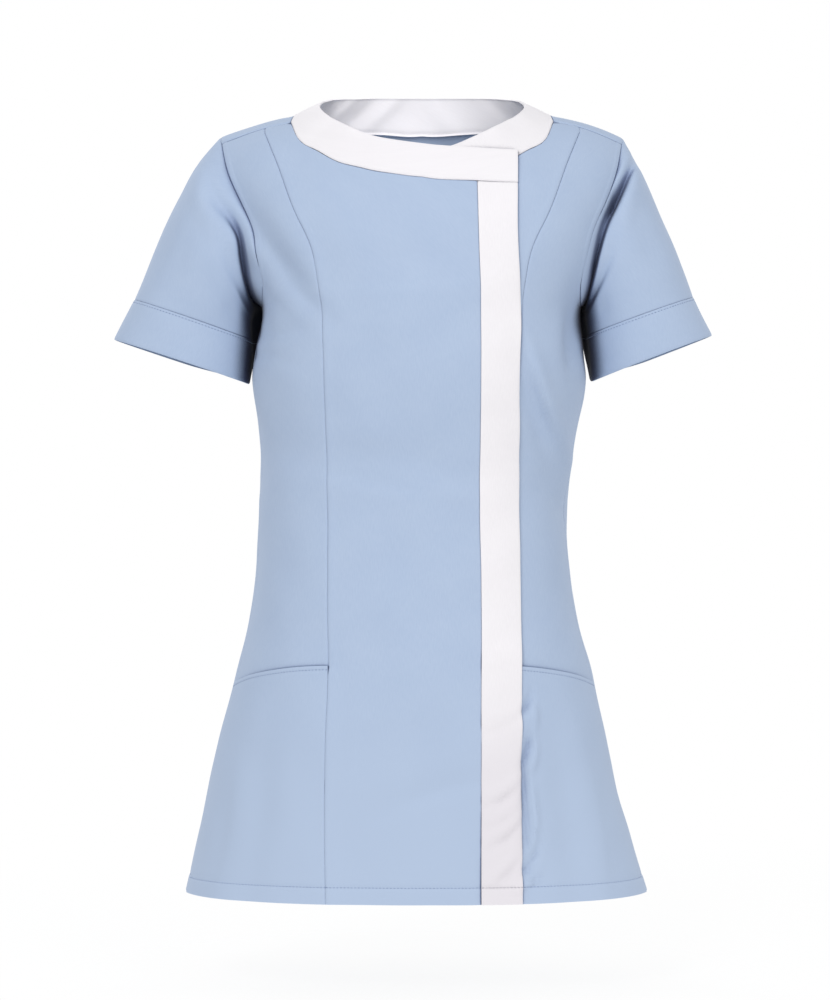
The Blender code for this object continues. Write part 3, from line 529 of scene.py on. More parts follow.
def neck_strip(at, height_share):
    """The neckband's own surface between its sewn edge and its free edge, before it is lifted."""
    stretches = (UNDER_STRETCH, BACK_STRETCH, OVER_STRETCH)
    ends = np.cumsum([0] + [len(stretch) - 1 for stretch in stretches])
    low = np.zeros(at.shape + (3,))
    out = np.zeros(at.shape + (3,))
    lift = np.zeros(at.shape)
    for number, stretch in enumerate(stretches):
        inside = (at >= ends[number]) & (at <= ends[number + 1])
        angle, rise = along_stretch(stretch, at[inside] - ends[number])
        low[inside] = body(angle, rise)
        out[inside] = body_directions(angle, rise)[0]
        if stretch is OVER_STRETCH:
            lift[inside] = over_lift(low[inside])
    rows = [row for row, _, _ in UNDER_STRETCH + BACK_STRETCH[1:] + OVER_STRETCH[1:]]
    stations = np.arange(len(rows))
    columns = ("top_across", "top_depth", "top_height")
    high = np.stack([smooth(stations, [getattr(row, name) for row in rows], at) for name in columns], axis=-1)
    high[..., 0] += NECK_LEAN
    return low + (high - low) * height_share[:, None], unit(high - low), out, lift


def sleeve_turn(share):
    """Round a sleeve from the underarm, up the front to the shoulder seam and down the back."""
    front = 180 - 2 * share * (180 - SEAM_TURN)
    back = SEAM_TURN - (2 * share - 1) * (180 + SEAM_TURN)
    return np.where(share <= 0.5, front, back)


def ring_points(side, ring, turn):
    cosine, sine = np.cos(np.radians(turn)), np.sin(np.radians(turn))
    behind = np.where((sine < 0) & (cosine < 0), np.sin(np.radians(2 * turn)) ** 2, 0)
    across = (ring.top_across + ring.low_across) / 2 + (ring.top_across - ring.low_across) / 2 * cosine
    across = across - ring.swing * behind
    height = (ring.top_height + ring.low_height) / 2 + (ring.top_height - ring.low_height) / 2 * cosine
    depth = SLEEVE_DEPTH - np.where(sine > 0, ring.front, ring.back) * sine
    return np.stack([side * across, depth, height], axis=-1)


ARMHOLE_STEP = 2.0


def armhole_place(side, turn):
    """(angle, rise) of the armhole's edge. The turn is positive at the front and negative at the back."""
    rise = 1 - np.abs(turn) / 180
    angle = armhole_angle(rise, turn >= 0)
    return side * np.where(turn >= 0, angle, 180 - angle), rise


def armhole_edge(side, turn):
    """The panels' edge at the armhole: point, outward direction, and the way out of the panel."""
    turn = np.mod(turn + 180, 360) - 180
    points = body(*armhole_place(side, turn))
    out = body_directions(*armhole_place(side, turn))[0]
    ahead = body(*armhole_place(side, np.mod(turn + ARMHOLE_STEP + 180, 360) - 180))
    behind = body(*armhole_place(side, np.mod(turn - ARMHOLE_STEP + 180, 360) - 180))
    return points, out, unit(np.cross(out, unit(ahead - behind))) * side


def sleeve_push(folds, turn, reach):
    """How far folds push a sleeve's cloth out."""
    push = np.zeros(np.shape(turn))
    for fold in folds:
        around = (np.mod(turn, 360) - fold.turn) / fold.turn_span
        push += fold.out * np.exp(-(around**2) - ((reach - fold.reach) / fold.reach_span) ** 2)
    return push


def sleeve_surface(side, turn, reach):
    rings = RIGHT_SLEEVE if side < 0 else LEFT_SLEEVE
    folds = RIGHT_SLEEVE_FOLDS if side < 0 else LEFT_SLEEVE_FOLDS
    tuck = RIGHT_TUCK if side < 0 else LEFT_TUCK
    points, out, _ = armhole_edge(side, turn)
    stations = np.stack([points + out * WALL] + [ring_points(side, ring, turn) for ring in rings])
    surface = smooth([0.0] + [ring.reach for ring in rings], stations, reach)
    middle = (ring_points(side, rings[1], 0.0) + ring_points(side, rings[1], 180.0)) / 2
    turned = np.mod(turn, 360)
    from_tuck = reach - read(tuck, "reach", turned)
    along = from_tuck / (read(tuck, "span", turned) * np.where(from_tuck < 0, STEEPER, 1))
    push = read(tuck, "out", turned) * np.exp(-(along**2)) * ease(reach / TUCK_START)
    push = push + sleeve_push(folds, turn, reach)
    return surface + unit(surface - middle) * push[:, None]


def cuff_surface(side, turn, reach):
    start = ring_points(side, (RIGHT_SLEEVE if side < 0 else LEFT_SLEEVE)[-1], turn)
    end = ring_points(side, RIGHT_CUFF if side < 0 else LEFT_CUFF, turn)
    return start + (end - start) * reach[:, None]


# The finer grids: the usual step, and the steps beside an edge where the cloth turns in
STEP = 0.0040
EDGE_STEPS = (0.0, 0.0007, 0.0015, 0.0024, 0.0038, 0.0055, 0.0075)

# At a seam the cloth turns in, and over the strip turned in behind it the cloth stands a little higher
ROLL_DEPTH = 0.0005
ROLL_WIDTH = 0.0010
STRIP_WIDTH = 0.0075
STRIP_HEIGHT = 0.0004
STRIP_SLOPE = 0.0015

# The hem is turned up and stitched at this height
HEM_FOLD = 0.015
HEM_HEIGHT = 0.0003
HEM_SLOPE = 0.001
STITCH_DIP = 0.0007
STITCH_DIP_WIDTH = 0.0013
# Rows under a line of stitches, which the other rows keep this far from
STITCH_ROWS = np.array([-0.0012, 0, 0.0012])
STITCH_CLEAR = 0.0025

# Soft creases in the cloth that are too small for the solids. Bend curves a crease along its run.
CREASE_FIELDS = "across height run width tilt out bend"
FRONT_CREASES = table(
    CREASE_FIELDS,
    (-0.15, -0.105, 0.05, 0.006, -62, -0.0031, 0.01), (-0.118, -0.15, 0.055, 0.007, -55, -0.0029, 0.008),
    (-0.135, -0.15, 0.06, 0.006, -57, 0.0017, 0.006), (-0.125, -0.205, 0.045, 0.006, 2, -0.0015, 0.004),
    (-0.132, -0.225, 0.03, 0.005, -14, -0.0012, -0.004), (-0.02, -0.16, 0.085, 0.008, 2, -0.001, 0.006),
    (-0.035, -0.34, 0.055, 0.008, -10, -0.0014, 0.004), (0.028, -0.35, 0.03, 0.007, -16, 0.001, 0.002),
    (-0.132, -0.2, 0.035, 0.007, 88, -0.0014, 0.004), (0.022, -0.615, 0.05, 0.009, 16, -0.0017, -0.004),
    (-0.06, -0.6, 0.08, 0.01, 80, 0.001, 0.005), (0.115, -0.262, 0.05, 0.005, -70, 0.005, 0.002),
    (0.102, -0.538, 0.011, 0.003, 66, -0.004, 0.002), (0.1075, -0.548, 0.013, 0.003, 96, 0.0028, 0.002),
    (0.1, -0.56, 0.01, 0.003, 104, 0.002, -0.002), (0.102, -0.577, 0.014, 0.003, 82, -0.0048, 0.002),
    (0.107, -0.588, 0.015, 0.003, 78, 0.0028, 0.002), (0.099, -0.606, 0.02, 0.003, 90, -0.0038, 0.001),
    (0.106, -0.622, 0.018, 0.003, 100, 0.0022, 0.001), (0.1, -0.645, 0.028, 0.004, 92, -0.0034, 0.001),
    (0.107, -0.652, 0.022, 0.003, 84, 0.0026, 0.002), (0.105, -0.678, 0.014, 0.003, 58, -0.0034, 0.002),
    (0.101, -0.698, 0.012, 0.003, 38, 0.0026, 0.002), (0.105, -0.692, 0.011, 0.003, -40, -0.003, 0.001),
    (0.165, -0.65, 0.075, 0.009, 99, 0.0017, 0.004), (-0.175, -0.655, 0.06, 0.008, 80, -0.0015, 0.004),
)
BACK_CREASES = table(
    CREASE_FIELDS,
    (0.04, -0.3, 0.06, 0.007, -6, -0.003, 0.006), (-0.05, -0.325, 0.07, 0.008, 7, -0.0033, -0.005),
    (0.01, -0.395, 0.08, 0.008, 3, 0.0025, 0.006), (0.12, -0.165, 0.05, 0.006, 58, -0.0029, 0.008),
    (-0.125, -0.17, 0.055, 0.006, -61, -0.003, 0.009), (0.03, -0.13, 0.08, 0.009, -3, -0.0021, 0.005),
    (0.13, -0.61, 0.07, 0.009, 84, 0.0025, 0.004), (-0.115, -0.62, 0.08, 0.009, 97, -0.003, 0.005),
    (0.01, -0.6, 0.09, 0.01, 89, 0.0023, 0.006),
)


def graded(length, step=STEP, low=True, high=True):
    """Shares along a length, finer beside the ends that are asked for."""
    edge = np.array(EDGE_STEPS)
    start = edge if low else np.array([0.0])
    end = length - edge[::-1] if high else np.array([length])
    count = max(int(round((end[0] - start[-1]) / step)), 1)
    middle = np.linspace(start[-1], end[0], count + 1)[1:-1]
    return np.concatenate([start, middle, end]) / length


def body_climbs(top_length):
    """Row places of a body panel: -1 at the hem, 0 at the underarm row, 1 at its top edge."""
    lower = CHEST - HEM
    below = graded(lower, high=False) * lower
    clear = below[np.abs(below - HEM_FOLD) > STITCH_CLEAR]
    below = np.sort(np.concatenate([clear, HEM_FOLD + STITCH_ROWS]))
    return np.concatenate([below / lower - 1, graded(top_length, low=False)[1:]])


def drawn_in(points, round_it):
    """The two sides of a piece stop short of their seams by half the gap."""
    points[:, 0] += round_it[:, 0] * SEAM_GAP / 2
    points[:, -1] -= round_it[:, -1] * SEAM_GAP / 2
    return points


def panel_points(left, right, top, lift, shares, climbs):
    """A panel's inner face as rows of points."""
    share, climb = np.meshgrid(shares, climbs)
    top_angle, top_rise = top(share)
    up = np.maximum(climb, 0)
    rise = np.where(climb < 0, climb, up * top_rise)
    top_left, top_right = left(top_rise), right(top_rise)
    top_share = np.clip((top_angle - top_left) / (top_right - top_left), 0, 1)
    across = share + (top_share - share) * up
    angle = left(rise) + (right(rise) - left(rise)) * across
    points, round_it, up_it = body_skin(angle, rise, lift)
    points[-1] -= up_it[-1] * SEAM_GAP / 2
    return drawn_in(points, round_it)


def grid_normals(points, tube=False):
    """Outward directions of a grid whose columns run to its left when it is seen from outside."""
    if tube:
        ring = points[:, :-1]
        round_it = np.roll(ring, -1, axis=1) - np.roll(ring, 1, axis=1)
        round_it = np.concatenate([round_it, round_it[:, :1]], axis=1)
    else:
        round_it = np.gradient(points, axis=1)
    return unit(np.cross(round_it, np.gradient(points, axis=0)))


def distances(points):
    """Along the cloth from each grid point to the left, right, lower and upper edge."""
    across = np.linalg.norm(np.diff(points, axis=1), axis=-1)
    across = np.concatenate([np.zeros((len(points), 1)), np.cumsum(across, axis=1)], axis=1)
    up = np.linalg.norm(np.diff(points, axis=0), axis=-1)
    up = np.concatenate([np.zeros((1, points.shape[1])), np.cumsum(up, axis=0)])
    return across, across[:, -1:] - across, up, up[-1:] - up


# Slow waves that keep the cloth from looking pressed: direction in each axis (waves per metre) and height
WAVES = table(
    "across depth up phase height",
    (9, 4, 6.5, 0.4, 0.00035), (-5.5, 7, 12, 1.9, 0.0003), (17, -6, 8, 3.1, 0.00018),
    (6, 15, -19, 4.6, 0.00014),
)


def unevenness(points):
    out = np.zeros(points.shape[:-1])
    for wave in WAVES:
        turn = points @ np.array([wave.across, wave.depth, wave.up])
        out += wave.height * np.sin(2 * np.pi * turn + wave.phase)
    return out


def seam(distance, strip=False):
    """The turned edge at a seam, with the turned-in strip behind it where it is pressed to this side."""
    out = -ROLL_DEPTH * np.exp(-((distance / ROLL_WIDTH) ** 2))
    if strip:
        out += STRIP_HEIGHT * ease((STRIP_WIDTH - distance) / STRIP_SLOPE) * ease(distance / STRIP_SLOPE)
    return out


def stitched_line(distance):
    """The dip that a row of stitches pulls into the cloth."""
    return -STITCH_DIP * np.exp(-((distance / STITCH_DIP_WIDTH) ** 2))


def hem(up):
    return HEM_HEIGHT * ease((HEM_FOLD - up) / HEM_SLOPE) + stitched_line(up - HEM_FOLD)


def srgb(code):
    """A hex colour as linear values."""
    parts = [int(code[place : place + 2], 16) / 255 for place in (1, 3, 5)]
    return (*[part / 12.92 if part <= 0.04045 else ((part + 0.055) / 1.055) ** 2.4 for part in parts], 1)


def add(tree, kind, settings=(), links=()):
    """Adds a shader node with its settings and the sockets that feed it."""
    node = tree.nodes.new("ShaderNode" + kind)
    for key, value in dict(settings).items():
        if isinstance(key, str) and hasattr(node, key):
            setattr(node, key, value)
        else:
            node.inputs[key].default_value = value
    for key, socket in dict(links).items():
        tree.links.new(socket, node.inputs[key])
    return node


def new_material(name):
    """An empty material and its node tree."""
    material = bpy.data.materials.new(name)
    material.use_nodes = True
    material.node_tree.nodes.clear()
    return material, material.node_tree


# Cloth, in metres: the slanting ribs' pitch and run, the yarns' pitch and run, the size of the dye's slow
# differences, and how far off other cloth still shades it in a hollow
RIBS = (0.0009, 0.0065)
RIB_SLANT = 63
YARNS = (0.0006, 0.009)
DYE_SIZE = 0.04
HOLLOW_REACH = 0.035
THREAD_TWIST = 0.004
THREAD_WORN = 0.85


def twill(name, colours, contact_shadow_reach, contact_shadow_range):
    """Polyester and cotton twill, piece-dyed and pressed: matt, with fine slanting ribs and a faint bloom.

    The ribs are drawn 0.9 mm apart, twice as far as on the real cloth, so that they show at all.
    """
    # The last three colours are painted shade: darker towards the hem, a painted contact shadow at the foot
    # of an edge, and painted shade in hollows
    colour, deep, low, line, painted_hollow_shade = (srgb(code) for code in colours)
    material, tree = new_material(name)
    place = add(tree, "UVMap", {"uv_map": "cloth"}).outputs["UV"]
    grain = []
    for (across, along), slant, detail in ((RIBS, RIB_SLANT, 1.5), (YARNS, 0, 1.0)):
        scale = {"Rotation": (0, 0, np.radians(slant)), "Scale": (1 / across, 1 / along, 1)}
        drawn = add(tree, "Mapping", scale, {"Vector": place}).outputs[0]
        noise = add(tree, "TexNoise", {"Scale": 1.0, "Detail": detail}, {"Vector": drawn})
        grain.append(noise.outputs["Fac"])
    dye = add(tree, "TexNoise", {"Scale": 1 / DYE_SIZE, "Detail": 2.0}, {"Vector": place})
    rib, yarn = grain
    weave = add(tree, "Math", {"operation": "MULTIPLY_ADD", 1: 0.45}, {0: yarn, 2: rib}).outputs[0]
    feed = {0: dye.outputs["Fac"], 2: weave}
    shade = add(tree, "Math", {"operation": "MULTIPLY_ADD", 1: 0.6}, feed).outputs[0]
    height = add(tree, "SeparateXYZ", {}, {0: add(tree, "TexCoord").outputs["Object"]})
    contact_shadow_occlusion = add(tree, "AmbientOcclusion", {"samples": 10, "Distance": contact_shadow_reach})
    # Occlusion over a longer reach, which paints shade into deep folds and at the armholes
    near = add(tree, "AmbientOcclusion", {"samples": 12, "Distance": HOLLOW_REACH})
    # As a value falls through its range, the colour goes over to a darker one. Where the dye took less well,
    # this is the cloth's own uneven tone. The rest is painted shade: darker towards the hem, a painted
    # contact shadow in a thin line at the foot of an edge that lies on other cloth, and painted shade where
    # cloth lies close to cloth, in deep folds and at the armholes
    tint = colour
    for value, low_end, high_end, darker, kind in (
        (shade, 0.75, 1.35, deep, "LINEAR"),
        # painted shade, darker towards the hem
        (height.outputs["Z"], -0.64, -0.48, low, "SMOOTHSTEP"),
        # painted contact shadow at the foot of an edge
        (contact_shadow_occlusion.outputs["AO"], *contact_shadow_range, line, "SMOOTHSTEP"),
        # painted shade in hollows, deep folds and at the armholes
        (near.outputs["AO"], 0.12, 0.72, painted_hollow_shade, "SMOOTHSTEP"),
    ):
        span = {"interpolation_type": kind, "From Min": low_end, "From Max": high_end}
        share = add(tree, "MapRange", span, {"Value": value}).outputs[0]
        if tint is colour:
            mixed = add(tree, "Mix", {"data_type": "RGBA", 6: darker, 7: tint}, {0: share})
        else:
            mixed = add(tree, "Mix", {"data_type": "RGBA", 6: darker}, {0: share, 7: tint})
        tint = mixed.outputs[2]
    bump = add(tree, "Bump", {"Strength": 0.15, "Distance": 0.0002}, {"Height": weave})
    finish = {"Roughness": 0.82, "IOR": 1.5, "Specular IOR Level": 0.25}
    finish.update({"Sheen Weight": 0.1, "Sheen Roughness": 0.5})
    shader = add(tree, "BsdfPrincipled", finish, {"Base Color": tint, "Normal": bump.outputs[0]})
    add(tree, "OutputMaterial", {}, {"Surface": shader.outputs[0]})
    return material


def thread(name, code):
    """Spun polyester sewing thread: a little glossier than the cloth, with its twist too fine to show."""
    material, tree = new_material(name)
    colour = srgb(code)
    worn = (*[THREAD_WORN * part for part in colour[:3]], 1)
    place = add(tree, "TexCoord").outputs["Object"]
    noise = add(tree, "TexNoise", {"Scale": 1 / THREAD_TWIST, "Detail": 1.0}, {"Vector": place})
    mix = add(tree, "Mix", {"data_type": "RGBA", 6: colour, 7: worn}, {0: noise.outputs["Fac"]})
    finish = {"Roughness": 0.6, "Sheen Weight": 0.2}
    shader = add(tree, "BsdfPrincipled", finish, {"Base Color": mix.outputs[2]})
    add(tree, "OutputMaterial", {}, {"Surface": shader.outputs[0]})
    return material


# Each cloth's colours: where the dye took well and less well, then painted shade towards the hem, a painted
# contact shadow beside an edge, and painted shade in a hollow
BLUE = ("#b0c0d8", "#a9bad4", "#aebed6", "#7d8cae", "#27304c")
WHITE = ("#efecef", "#eae7ea", "#dfdbe0", "#8f8d97", "#a8a6ad")
# The last two numbers are the reach and the range of the occlusion that paints the contact shadow at an
# edge's foot
BLUE_TWILL = twill("pale_blue_twill", BLUE, 0.009, (0.60, 0.90))
WHITE_TWILL = twill("white_twill", WHITE, 0.008, (0.80, 0.92))
BLUE_THREAD = thread("pale_blue_thread", "#8fa2c6")
WHITE_THREAD = thread("white_thread", "#c9c6ce")

# A record of what a piece is cut as: width and length, its area where it isn't a rectangle, and what holds it
Cut = namedtuple("Cut", "flat area rests_on")

# The outer face of each piece, as rows of points and their normals, for the stitches on it
SEWN = {}


def link_object(name, data):
    item = bpy.data.objects.new(name, data)
    bpy.context.scene.collection.objects.link(item)
    return item


def to_object(name, mesh, material):
    """An object in the scene from a bmesh, which is freed."""
    data = bpy.data.meshes.new(name)
    mesh.to_mesh(data)
    mesh.free()
    data.shade_smooth()
    data.materials.append(material)
    return link_object(name, data)


def cloth_piece(name, inner, wall, relief, material, tube=False, normals=None):
    """A piece of cloth on its solid's form: a grid on its inner face, extruded into its outer face."""
    if normals is None:
        normals = grid_normals(inner, tube)
    across, _, up, _ = distances(inner)
    near = inner + normals * relief[..., None]
    far = inner + normals * (relief + wall)[..., None]
    rows, columns = inner.shape[0] - 1, inner.shape[1] - 1
    mesh = bmesh.new()
    bmesh.ops.create_grid(mesh, x_segments=columns, y_segments=rows, size=0.5)
    index = mesh.verts.layers.int.new("index")
    for vert in mesh.verts:
        column, row = round((vert.co.x + 0.5) * columns), round((vert.co.y + 0.5) * rows)
        vert[index] = row * (columns + 1) + column
    uv = mesh.loops.layers.uv.new("cloth")
    flat_uv = np.stack([across, up], axis=-1).reshape(-1, 2)
    for face in mesh.faces:
        for corner in face.loops:
            corner[uv].uv = flat_uv[corner.vert[index]]
    near, far = near.reshape(-1, 3), far.reshape(-1, 3)
    for vert in mesh.verts:
        vert.co = near[vert[index]]
    if tube:
        bmesh.ops.remove_doubles(mesh, verts=mesh.verts[:], dist=1e-6)
    grown = bmesh.ops.extrude_face_region(mesh, geom=mesh.faces[:])["geom"]
    for item in grown:
        if isinstance(item, bmesh.types.BMVert):
            item.co = far[item[index]]
    bmesh.ops.recalc_face_normals(mesh, faces=mesh.faces[:])
    mesh.verts.layers.int.remove(index)
    piece = to_object(name + "_cloth", mesh, material)
    piece.data.set_sharp_from_angle(angle=np.radians(60))
    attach(piece, "root")
    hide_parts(name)
    outer = far.reshape(inner.shape)
    SEWN[name] = outer, grid_normals(outer, tube)


# Stitches: from one to the next, the length and width of each, how far its middle lies above the cloth,
# and how far along the line to either side its direction is read
STITCH_PITCH = 0.0032
STITCH_LENGTH = 0.0022
STITCH_WIDTH = 0.0006
STITCH_RISE = 0.0001
STITCH_REACH = 0.0005


def at_run(values, run, at):
    return np.array([np.interp(at, run, values[:, axis]) for axis in range(3)])


def stitches(name, lines, material):
    """Rows of stitches, each a small rounded thread lying on the cloth. A line is (points, normals)."""
    mesh = bmesh.new()
    for points, normals in lines:
        run = lengths_along(points)
        for start in np.arange(STITCH_PITCH / 2, run[-1], STITCH_PITCH):
            out = unit(at_run(normals, run, start))
            ahead, behind = (at_run(points, run, start + past) for past in (STITCH_REACH, -STITCH_REACH))
            along = unit(ahead - behind)
            aside = np.cross(out, along)
            axes = (along * STITCH_LENGTH / 2, aside * STITCH_WIDTH / 2, out * STITCH_WIDTH / 2)
            turn = Matrix(axes).transposed().to_4x4()
            turn.translation = Vector(at_run(points, run, start) + out * STITCH_RISE)
            bmesh.ops.create_icosphere(mesh, subdivisions=1, radius=1.0, matrix=turn)
    piece = to_object(name, mesh, material)
    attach(piece, "root")


# Roughly how wide each body panel is, and how far it runs above the underarm, to space its rows and columns
OVER_WIDTH = 0.134
UNDER_WIDTH = 0.075
BAND_WIDTH = 0.037
BACK_WIDTH = 0.47
CENTRE_CLIMB = 0.15
SIDE_CLIMB = 0.17
BACK_CLIMB = 0.19
FINE_STEP = 0.003
# The side fronts and the pockets on them share their columns, so that their creases are the same
SIDE_SHARES = graded(0.12, step=0.0025)

# How much deeper or shallower the cloth turns in at some seams than at the rest
BAND_SEAM = 1.2
SIDE_SEAM = 2.5
CUFF_SEAM = 0.6
MOUTH_SEAM = 0.6
LIGHT_STITCHES = 0.4

# Below the pocket mouth the front's seam edge rises by this over a width and a height
POCKET_LEVEL = 0.0016
LEVEL_WIDTH = 0.02
LEVEL_START = 0.01

# The groove beside the placket band: its depth, where it starts and over what height, and its width there
# and near the hem
BAND_GROOVE = 0.0011
GROOVE_TOP = -0.590
GROOVE_START = 0.12
GROOVE_WIDTH = 0.002
GROOVE_SPREAD = 0.003

# The pocket mouth's turned edge, and how far the mouth stands open in its middle and how far down
MOUTH_HEM = 0.0036
MOUTH_STRIP = 0.0003
MOUTH_GAPE = 0.0005
GAPE_DEPTH = 0.035
POCKET_HEIGHT = MOUTH_TOP - HEM
ROW_SPACE = 0.0006

BAND_CREASES = table(
    CREASE_FIELDS,
    (0.079, -0.622, 0.016, 0.0035, 32, -0.0012, 0.002), (0.08, -0.615, 0.017, 0.0035, 34, 0.0022, 0.002),
    (0.078, -0.636, 0.014, 0.0035, 28, 0.0014, 0.001), (0.08, -0.658, 0.018, 0.0035, 38, -0.0012, 0.002),
    (0.082, -0.65, 0.017, 0.0035, 40, 0.0024, 0.002), (0.084, -0.69, 0.014, 0.0035, 48, -0.0011, 0.001),
    (0.08, -0.684, 0.014, 0.0035, 46, 0.002, 0.001), (0.072, -0.56, 0.02, 0.006, 24, -0.0008, 0.001),
    (0.074, -0.552, 0.02, 0.006, 22, 0.0012, 0.001), (0.07, -0.5, 0.024, 0.007, 20, 0.0008, 0.001),
)


def body_relief(points, creases):
    return fold_height(points, creases) + unevenness(points)


def fine_stops(last, first=0.0, parts=4):
    """Places along a stretch of the neckline, with this many parts to a station."""
    return np.linspace(first, last, int(round((last - first) * parts)) + 1)


def stretch_points(stretch, stops):
    return list(zip(*along_stretch(stretch, stops)))


def beside_pocket(points, distance):
    """Below the pocket mouth the front's seam edge rises until it is level with the pocket."""
    below = ease((MOUTH_TOP - points[..., 2]) / LEVEL_START)
    return POCKET_LEVEL * ease(1 - distance / LEVEL_WIDTH) * below


def beside_band(points, distance):
    """The groove beside the placket band, which widens towards the hem."""
    low = ease((GROOVE_TOP - points[..., 2]) / GROOVE_START)
    return BAND_GROOVE * low * np.exp(-((distance / (GROOVE_WIDTH + GROOVE_SPREAD * low)) ** 2))


def body_panel(name, lines, top, lift, shares, climb, beside, creases=FRONT_CREASES, band=False, strip=False):
    """A panel on the body. What is beside its two long edges comes from a function of both distances."""
    inner = panel_points(*lines, top, lift, shares, body_climbs(climb))
    left, right, up, down = distances(inner)
    relief = body_relief(inner, creases) + beside(inner, left, right) + seam(down, strip) + hem(up)
    cloth_piece(name, inner, BAND_WALL if band else WALL, relief, WHITE_TWILL if band else BLUE_TWILL)


def beside_over(inner, left, right):
    seams = seam(left, strip=True) + BAND_SEAM * seam(right)
    return seams + beside_pocket(inner, left) - beside_band(inner, right)


def beside_under(inner, left, right):
    return seam(right, strip=True) + beside_pocket(inner, right)


def beside_side(side):
    def seams(inner, left, right):
        by_princess, by_armhole = (left, right)[::side]
        armhole_seam, side_seam = seam(by_armhole, strip=True), SIDE_SEAM * seam(by_armhole)
        return seam(by_princess) + np.where(inner[..., 2] - CHEST > 1e-9, armhole_seam, side_seam)

    return seams


def two_seams(inner, left, right):
    return seam(left) + seam(right)


def front_panels():
    """The centre fronts with the placket band, then on each side the side front and its pocket."""
    corners = {side: (float(princess(side)(np.array(FRONT_TOP))), FRONT_TOP) for side, _ in SIDES}
    last = float(OVER_STOPS[-1])
    edge, band_edge = placket_line("inner"), placket_line("outer")

    top = line_top([corners[-1]] + stretch_points(OVER_STRETCH, fine_stops(last - 1)))
    shares = graded(OVER_WIDTH)
    body_panel("front_over", (princess(-1), edge), top, over_lift, shares, CENTRE_CLIMB, beside_over)

    top = line_top(stretch_points(OVER_STRETCH, fine_stops(last, last - 1, parts=6)))
    shares, creases = graded(BAND_WIDTH, FINE_STEP), FRONT_CREASES + BAND_CREASES
    lines = edge, band_edge
    body_panel("placket_band", lines, top, band_lift, shares, CENTRE_CLIMB, two_seams, creases, band=True)

    top = line_top(stretch_points(UNDER_STRETCH, fine_stops(float(UNDER_STOPS[-1]))) + [corners[1]])
    shares = graded(UNDER_WIDTH)
    body_panel("front_under", (under_edge, princess(1)), top, no_lift, shares, CENTRE_CLIMB, beside_under)

    for side, hand in SIDES:
        lines = (princess(side), outer_edge(side))[::side]
        top, beside = level_top(*lines), beside_side(side)
        body_panel("side_front_" + hand, lines, top, no_lift, SIDE_SHARES, SIDE_CLIMB, beside)

        shares, heights = np.meshgrid(SIDE_SHARES, pocket_rows())
        inner = pocket_points(side, lines, shares, heights)
        left, right, up, down = distances(inner)
        by_princess, by_side = (left, right)[::side]
        relief = body_relief(inner, FRONT_CREASES) + seam(by_princess) + seam(by_side) + hem(up)
        relief += MOUTH_SEAM * seam(down) + MOUTH_STRIP * ease((MOUTH_HEM - down) / HEM_SLOPE)
        relief += LIGHT_STITCHES * stitched_line(down - MOUTH_HEM)
        # The mouth gapes a little in its middle
        across = by_princess / (by_princess + by_side)
        relief += MOUTH_GAPE * np.sin(np.pi * across) ** 2 * ease(1 - down / GAPE_DEPTH)
        cloth_piece("pocket_" + hand, inner, WALL, relief, BLUE_TWILL)


def pocket_rows():
    """Row places of a pocket from its lower edge to its mouth, with rows under both lines of stitches."""
    rows = graded(POCKET_HEIGHT) * POCKET_HEIGHT
    marks = np.concatenate([HEM_FOLD + STITCH_ROWS, [POCKET_HEIGHT - MOUTH_HEM]])
    keep = [row for row in rows if np.abs(marks - row).min() > ROW_SPACE]
    return np.sort(np.concatenate([keep, marks])) / POCKET_HEIGHT


def pocket_points(side, lines, share, up):
    from_princess = share if side > 0 else 1 - share
    mouth = MOUTH_TOP - MOUTH_DROP * from_princess**MOUTH_BEND
    rise = -1 + up * (mouth - HEM) / (CHEST - HEM)
    angle = lines[0](rise) + (lines[1](rise) - lines[0](rise)) * share
    points, round_it, _ = body_skin(angle, rise, pocket_lift)
    return drawn_in(points, round_it)


def back_panel():
    seam_rise = np.array(FRONT_TOP)
    start, end = float(princess(1)(seam_rise)), float(outer_edge(1)(seam_rise))
    left = [(180 - angle, BACK_TOP) for angle in np.linspace(end, start, SHOULDER_POINTS)]
    right = [(360 - angle, rise) for angle, rise in reversed(left)]
    top = line_top(left + stretch_points(BACK_STRETCH, fine_stops(float(BACK_STOPS[-1]))) + right)
    lines, shares = (back_edge(1), back_edge(-1)), graded(BACK_WIDTH)
    body_panel("back", lines, top, no_lift, shares, BACK_CLIMB, two_seams, BACK_CREASES, strip=True)


SHOULDER_POINTS = 13

# The neckband's width, how round it is, and the thin ridge along its lower edge
NECKBAND_WIDTH = 0.0365
BAND_CROWN = 0.0008
EDGE_RIDGE = 0.0005
EDGE_RIDGE_AT = 0.0022
EDGE_RIDGE_WIDTH = 0.0016
# At the sewn edge the band lies the body's way, and turns to its own over this share of its width
BAND_TURN = 0.12
SEWN_SHARE = 0.1
STOP_STEP = 0.05
STOP_PARTS = 8
# Where the inside of the band wrinkles at the back: station and share up the band, their spans, and depth
NECK_CREASES = table(
    "stop up stop_span up_span slant out",
    (9.6, 0.55, 0.35, 0.9, 0.8, -0.0012), (10.4, 0.5, 0.3, 0.9, 0.9, 0.0009),
    (14.2, 0.5, 0.28, 0.9, -0.9, -0.0014), (14.9, 0.5, 0.22, 0.9, -0.8, 0.0011),
    (15.6, 0.55, 0.25, 0.9, -0.8, -0.0014), (16.6, 0.45, 0.26, 0.8, -0.5, 0.001),
    (12.4, 0.4, 0.3, 0.6, 0.6, -0.0007), (21.5, 0.5, 0.5, 0.7, 0.3, -0.0006),
    (24.5, 0.6, 0.6, 0.7, -0.3, 0.0005),
)


